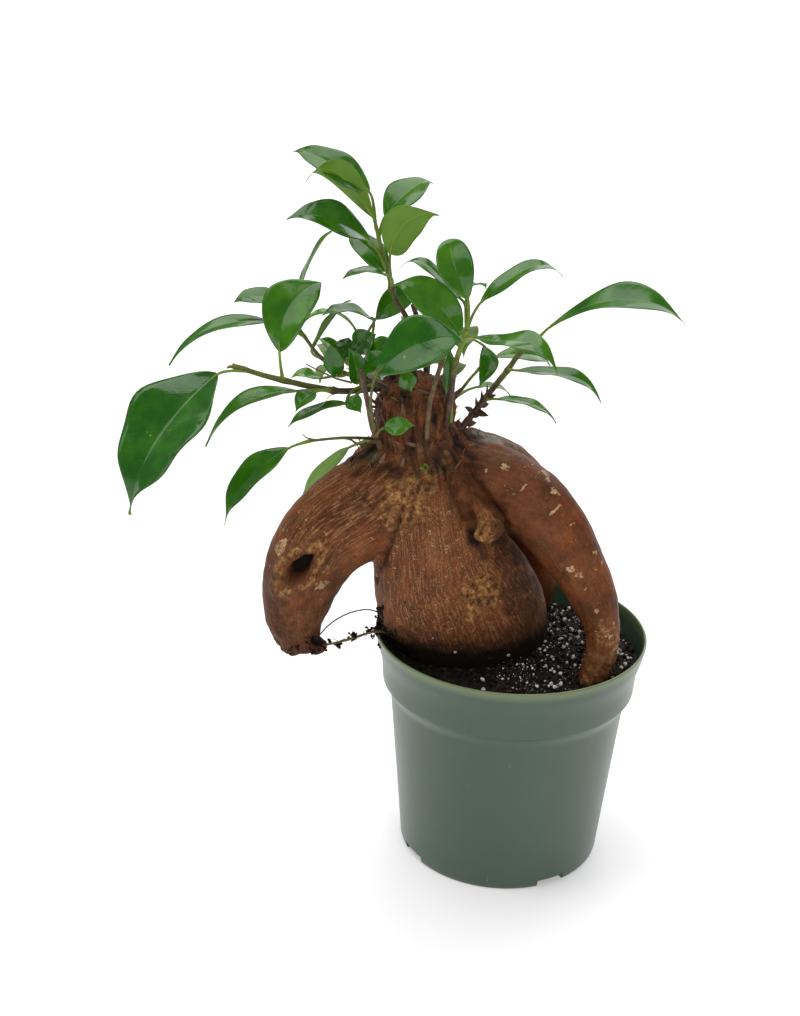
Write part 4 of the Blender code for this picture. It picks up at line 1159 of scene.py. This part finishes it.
def add_leaf(pile, leaf, draw):
    """One blade as a thin closed shell, with a groove over the midrib and a ridge under it."""
    length = np.linalg.norm(np.subtract(leaf.tip, leaf.base))
    wave = draw.uniform(0.4, 0.9) * leaf.width / 16
    phase, turns = draw.uniform(0, ROUND), draw.uniform(1.2, 2.4)
    cup = draw.uniform(-0.05, 0.1)
    seed = draw.random()
    drip = draw.uniform(0.02, 0.09)
    fold = math.radians(leaf.fold)
    columns = np.linspace(-1, 1, 2 * BLADE_COLUMNS + 1)
    columns = np.sign(columns) * np.abs(columns) ** BLADE_CROWD
    tops, bottoms, blade = [], [], []
    for i in range(BLADE_ROWS + 1):
        share = (1 - math.cos(math.pi * i / BLADE_ROWS)) / 2
        centre, side, normal = midrib(leaf, share)
        centre = centre - np.array((0, 0, drip * length * max(0, (share - 0.8) / 0.2) ** 2))
        half = half_width(leaf, share)
        for column in columns:
            swing = 2 * math.pi * turns * share + phase + (WAVE_LAG if column > 0 else 0)
            ripple = wave * column**2 * math.sin(swing)
            ripple += cup * half * column**2
            ripple += abs(column) * half * math.sin(fold)
            point = centre + side * column * half * math.cos(fold) + normal * ripple
            near = math.exp(-((column * half / RIB_WIDTH) ** 2))
            thin = BLADE_THICKNESS / 2 * (1 - 0.6 * abs(column) ** 6)
            tops.append(point + normal * (thin - 0.1 * near * (1 - share)))
            bottoms.append(point - normal * (thin + 0.5 * near * (1 - share) ** 0.7))
            blade.append((share * length, column * half, abs(column)))
    width = len(columns)
    count = len(tops)
    last = BLADE_ROWS * width
    faces = []
    for left in range(0, last, width):
        for a in range(left, left + width - 1):
            b = a + width
            faces.append((a, b, b + 1, a + 1))
            faces.append((count + a, count + a + 1, count + b + 1, count + b))
        right = left + width - 1
        faces.append((left, count + left, count + left + width, left + width))
        faces.append((right, right + width, count + right + width, count + right))
    for j in range(width - 1):
        faces.append((j, j + 1, count + j + 1, count + j))
        faces.append((last + j, count + last + j, count + last + j + 1, last + j + 1))
    marks = np.zeros((2 * count, 3))
    marks[count:, 0] = 1
    marks[:, 1:] = leaf.youth, seed
    pile.add(np.array(tops + bottoms), faces, blade=np.array(blade * 2), leaf=marks)


def add_stalk(pile, start, leaf, green):
    """The leaf's stalk, from the stem into the foot of the blade."""
    base = midrib(leaf, 0)[0]
    _, _, normal = midrib(leaf, 0.1)
    inner = midrib(leaf, 0.12)[0] - normal * 0.35
    reach = np.linalg.norm(base - start)
    elbow = base - unit(unit(inner - base) + 1.2 * unit(base - start)) * 0.35 * reach
    middle = (start + 2 * elbow + base) / 4
    line = spline([start, middle, base - normal * 0.15, inner], 20)
    radii = np.interp(np.linspace(0, 1, len(line)), (0, 0.33, 0.66, 1), STALK_RADII)
    pile.tube(line, radii, 10, twig=(green, 0, 0))


def build_shoot(name, draw, leaf_paint, twig_paint):
    points, foot, tip, foot_green, tip_green = SHOOTS[name]
    coarse = spline(points, STEM_STEPS)
    line = spline(points, STEM_RINGS)
    share = np.linspace(0, 1, len(line))
    leaves = [Leaf(*row) for row in LEAVES[name]]
    radii = (foot + (tip - foot) * share) * SLIM.get(name, 0.9)
    for leaf in leaves:
        radii = radii * (1 + 0.22 * hill(share, leaf.share, 0.018))
    radii = radii * (1 + 0.07 * noise_at(line, 2.4, 0.7))
    line = line + np.column_stack([0.12 * noise_at(line, 7.0, shift) for shift in (0.0, 3.0, 6.0)])
    tones = np.zeros((len(line), 3))
    tones[:, 0] = np.clip(foot_green + (tip_green - foot_green) * step(share, 0.35, 0.85), 0, 1)
    tones[:, 1] = FADED.get(name, 0)
    stems = Pile()
    stems.tube(line, radii, STEM_SIDES, twig=tones)
    if name in BUDDED:
        point, ahead = line[-1], unit(line[-1] - line[-2])
        spike = [point + ahead * reach for reach in (-1.0, 1.0, 3.0, 5.5)]
        last = radii[-1]
        stems.tube(spline(spike, 9), np.interp(range(10), (0, 2, 9), (last, last, 0.12)), 10, twig=(1, 0, 0))
    for places, thick, green, old in SPRIGS.get(name, ()):
        stems.tube(spline(places, 16), np.linspace(thick, 0.45 * thick, 17), 8, twig=(green, old, 0))
    blades = Pile()
    for leaf in leaves:
        add_stalk(stems, coarse[round(leaf.share * STEM_STEPS)], leaf, DULL_STALKS.get(name, 0.9))
        add_leaf(blades, leaf, draw)
    stems.place("stem_" + name, twig_paint, "twig", "shoot_" + name)
    blades.place("leaves_" + name, leaf_paint, "leaf", "shoot_" + name)


# Pot and soil

def turned_mesh(profile, sides):
    """Vertices and faces of a closed turned shape whose profile is a closed loop or ends on the axis."""
    points, faces, rows = [], [], []
    for radius, height in profile:
        turns = [2 * math.pi * j / sides for j in range(sides)] if radius else [0]
        rows.append(range(len(points), len(points) + len(turns)))
        points += [(radius * math.cos(turn), radius * math.sin(turn), height) for turn in turns]
    for near, far in zip(rows, rows[1:] + rows[:1]):
        if len(near) == 1 and len(far) == 1:
            continue
        for j in range(sides):
            k = (j + 1) % sides
            if len(near) == 1:
                faces.append((far[j], far[k], near[0]))
            elif len(far) == 1:
                faces.append((far[0], near[k], near[j]))
            else:
                faces.append((far[j], far[k], near[k], near[j]))
    return points, faces


def pot_inner(height):
    """Inner radius of the pot at this height."""
    radii, heights = zip(*reversed(POT_OUTER))
    return float(np.interp(height, heights, radii)) - POT_WALL


def build_pot():
    inner = [(pot_inner(z), z) for _, z in reversed(POT_OUTER[4:-3])]
    floor = [(0, 0), (0, POT_WALL), (pot_inner(POT_WALL) - 1, POT_WALL), (pot_inner(2), 2)]
    pile = Pile()
    points, faces = turned_mesh(POT_OUTER + floor + inner + POT_LIP, POT_SIDES)
    # The inner wall, which the pot's paint darkens with painted shade
    within = np.array([math.hypot(x, y) < pot_inner(z) + 0.3 and POT_WALL < z < 96 for x, y, z in points])
    pile.add(points, faces, inside=within.astype(float)[:, None])
    pot = pile.build("pot_shell", paint_pot())
    near, far = NOTCH_REACH
    middle = (near + far) / 2
    for angle in NOTCH_ANGLES:
        bpy.ops.mesh.primitive_cube_add(size=1)
        box = bpy.context.object
        box.scale = ((far - near) * MM, NOTCH_WIDTH * MM, 2 * NOTCH_HEIGHT * MM)
        turn = math.radians(angle)
        box.rotation_euler.z = turn
        box.location = (middle * math.cos(turn) * MM, middle * math.sin(turn) * MM, 0)
        notch = pot.modifiers.new("Notch", "BOOLEAN")
        notch.operation = "DIFFERENCE"
        notch.object = box
        baked(pot)
        bpy.data.objects.remove(box)
    pot.data.set_sharp_from_angle(angle=POT_SHARP)
    place_piece(pot, "pot", "pot")


def soil_height(x, y):
    """Height of the soil: mounded round the plant and heaped at a few places, with small lumps."""
    away = min(math.hypot(x, y) / SOIL_RADIUS, 1)
    lump = noise.noise(Vector((x, y, 0)) / SOIL_LUMP_SIZE)
    heap = sum(rise * math.exp(-((x - u)**2 + (y - v)**2) / reach**2) for u, v, reach, rise in HEAPS)
    return SOIL_MIDDLE + (SOIL_EDGE - SOIL_MIDDLE) * away**2 + SOIL_LUMP * lump + heap


def ball(level):
    """Points and faces of a round ball, finer with a higher level."""
    bpy.ops.mesh.primitive_ico_sphere_add(subdivisions=level, radius=1)
    item = bpy.context.object
    shape = read_points(item.data), read_faces(item.data)
    bpy.data.objects.remove(item)
    return shape


def add_grain(pile, draw, place, size, shape):
    """A small irregular lump: a ball of this radius pushed out of round."""
    points, faces = shape
    stretch = np.array([draw.uniform(0.7, 1.3), draw.uniform(0.7, 1.3), draw.uniform(0.6, 1.0)])
    lumps = 1 + 0.5 * noise_at(points, 0.7, draw.uniform(0, 90))
    turn = Matrix.Rotation(draw.uniform(0, ROUND), 3, Vector([draw.gauss(0, 1) for _ in range(3)]))
    pile.add(place + (points * lumps[:, None] * stretch * size) @ np.array(turn), faces)


def scatter(draw, radius):
    """An even random place in the disc."""
    away, turn = radius * math.sqrt(draw.random()), draw.uniform(0, 2 * math.pi)
    return away * math.cos(turn), away * math.sin(turn)


def perlite_share(x, y):
    """How likely perlite is: least at the front left, most between the bulb and the right root."""
    return 0.04 + 0.96 * step(x + 0.25 * y, -30, 2)


def build_soil(tree, draw, paint, perlite, low, fine):
    """The soil with its crumbs, shaped from the low ball, and its perlite, from the fine one."""
    rim = pot_inner(SOIL_EDGE) - SOIL_GAP
    shares = [i / SOIL_RINGS for i in range(SOIL_RINGS + 1)]
    profile = [(rim * share**0.9, SOIL_EDGE) for share in shares]
    tops = 1 + SOIL_RINGS * SOIL_SIDES
    floor = POT_WALL + SOIL_GAP
    walls = [(pot_inner(z) - SOIL_GAP, z) for _, z in POT_OUTER[14:-4]]
    base = [(pot_inner(floor) - SOIL_GAP - 1, floor), (0, floor)]
    points, faces = turned_mesh(profile + walls + base, SOIL_SIDES)
    points = np.array(points, float)
    top = points[:tops]
    top[:, 2] = [soil_height(x, y) for x, y, _ in top]
    top[:, 2] += 0.55 * noise_at(top, 2.0, 3.0) + 0.35 * noise_at(top, 0.9, 6.0)
    for point in top[-2 * SOIL_SIDES:]:
        point[:2] *= (pot_inner(point[2]) - SOIL_GAP) / rim
    pile = Pile()
    pile.add(points, faces)
    pile.place("soil_bed", paint, "peat", "soil")

    crumbs = Pile()
    for _ in range(CRUMB_COUNT):
        spot = scatter(draw, rim - 0.6)
        size = draw.uniform(*CRUMB_SIZES) ** 1.5
        place = np.array((*spot, soil_height(*spot) + 0.35 * size))
        if not inside(tree, place, 0.2):
            add_grain(crumbs, draw, place, size, low)
    crumbs.place("soil_crumbs", paint, "peat", "soil")

    grains = Pile()
    made = 0
    while made < PERLITE_COUNT:
        spot = scatter(draw, rim - 1.0)
        size = 0.13 + 0.72 * draw.random() ** 5.0
        if draw.random() > perlite_share(*spot):
            continue
        made += 1
        place = np.array((*spot, soil_height(*spot) + 0.4 * size + 0.5))
        if not inside(tree, place, 0.3):
            add_grain(grains, draw, place, size, fine)
    grains.place("perlite", perlite, "peat", "soil")


# Fine roots, scales, the bud and crumbs

def random_vector(draw, *spreads):
    return np.array([draw.gauss(0, spread) for spread in spreads])


def add_scale(pile, start, ahead, out, length, width, curl, tone):
    """A thin dead scale that leaves the bark ahead and curls outwards."""
    across = np.cross(ahead, out)
    if np.linalg.norm(across) < 0.1:
        return
    points = [start]
    for i in range(1, 10):
        bend = curl * i / 9
        points.append(points[-1] + (ahead * math.cos(bend) + out * math.sin(bend)) * length / 9)
    profile = np.interp(np.linspace(0, 1, 10), (0, 0.3, 0.6, 1), (0.6, 1, 0.75, 0.06))
    pile.tube(points, profile * width, 8, 0.2, unit(across), twig=tone)


def build_scales(tree, draw):
    pile = Pile()
    for _ in range(SCALE_COUNT):
        height, turn = draw.uniform(*SCALE_HEIGHTS), draw.uniform(0, 2 * math.pi)
        out = np.array((math.cos(turn), math.sin(turn), 0))
        start = Vector((*TRUNK_AXIS, height)) + Vector(out) * 60
        hit, normal, _, _ = tree.ray_cast(start, -Vector(out))
        if hit is None or (hit - start).length > 52 or hit[0] > -22 and hit[2] < 178:
            continue
        lean = random_vector(draw, 0.35, 0.35, 0.35)
        ahead = unit(np.array((0, 0, 0.75)) + 0.35 * np.array(normal) + lean)
        size = draw.uniform(0.5, 1.0)
        add_scale(pile, np.array(hit) - 0.5 * out, ahead, unit(out + 0.2 * lean), 6.5 * size, 1.0 * size,
                  draw.uniform(-0.5, 1.4), (0, draw.uniform(0, 0.35), 0))
    stem = spline(SHOOTS["far_right"][0], 100)
    for share, ahead, length, width, curl in BRACTS:
        ahead = unit(np.array(ahead, float))
        out = unit(np.array((0.15, -0.8, 0.45)) + 0.35 * np.cross(ahead, (0.2, -1, 0.3)))
        add_scale(pile, stem[round(100 * share)], ahead, out, length, width, curl, (0, 0.08, 0))
    pile.place("bracts", paint_scales(), "twig", "caudex")


def build_bud(tree, draw, paint):
    pile = Pile()
    hit, normal = (np.array(value) for value in tree.find_nearest(Vector(BUD))[:2])
    for i in range(7):
        turn = 2.4 * i
        spread = unit(np.cross(normal, (math.cos(turn), 0.2, math.sin(turn))))
        ahead = unit(normal + 0.25 * i / 6 * spread + np.array((0, 0, 0.3)))
        add_scale(pile, hit + 0.7 * spread - 0.4 * normal, ahead, spread, draw.uniform(2.0, 3.2), 0.85,
                  draw.uniform(-0.6, 0.6), (1, 0, 0))
    pile.place("bud_green", paint, "twig", "caudex")


def build_fine_roots(paint, draw):
    strand = Pile()
    line = spline(STRAND, 60)
    strand.tube(line, 0.5 + 0.1 * noise_at(line, 2.0), 10, twig=(0.15, 0.6, 0))
    strand.tube(spline(ARC_ROOT, 50), 0.28, 8, twig=(0, 0, 0))
    for _ in range(HAIR_COUNT):
        start = line[draw.randrange(8, 42)]
        reach = draw.uniform(*HAIR_LENGTHS)
        ahead = unit(np.array((draw.gauss(0, 0.8), draw.gauss(0, 0.6), draw.gauss(0.4, 0.8))))
        bend = random_vector(draw, 0.3, 0.3, 0.3) * reach
        hair = spline([start, start + ahead * reach * 0.5 + bend * 0.3, start + ahead * reach + bend], 8)
        strand.tube(hair, HAIR_RADIUS, 5, twig=(0, 0, 0))
    strand.place("fine_roots", paint, "twig", "caudex")


def build_crumbs(tree, draw, peat, perlite, shape):
    """Crumbs of soil on the left root's end and the strand, and a few grains on the bulb."""
    soil = Pile()
    for left, top, right, bottom, count, small, large in CRUMB_BOXES:
        for _ in range(count):
            hit = cast(tree, draw.uniform(left, right), draw.uniform(top, bottom))
            if hit is not None:
                add_grain(soil, draw, hit, draw.uniform(small, large), shape)
    for middle, spread, count in CLUMPS:
        for _ in range(count):
            place = np.array(middle) + random_vector(draw, spread, spread, spread)
            add_grain(soil, draw, place, draw.uniform(*CLUMP_SIZES), shape)
    soil.place("root_crumbs", peat, "peat", "soil")
    grains = Pile()
    for u, v, size in BULB_GRAINS:
        add_grain(grains, draw, cast(tree, u, v), size, shape)
    grains.place("bulb_grains", perlite, "peat", "soil")


build_camera()
build_stage()
leaf_paint = paint_leaf()
twig_paint = paint_twig()
peat_paint = paint_peat()
perlite_paint = paint_perlite()
draw = random.Random(7)
bark_tree = build_caudex()
for shoot in SHOOTS:
    build_shoot(shoot, draw, leaf_paint, twig_paint)
build_pot()
low_ball, fine_ball = ball(1), ball(2)
build_soil(bark_tree, draw, peat_paint, perlite_paint, low_ball, fine_ball)
build_scales(bark_tree, draw)
build_bud(bark_tree, draw, twig_paint)
build_fine_roots(twig_paint, draw)
build_crumbs(bark_tree, draw, peat_paint, perlite_paint, low_ball)
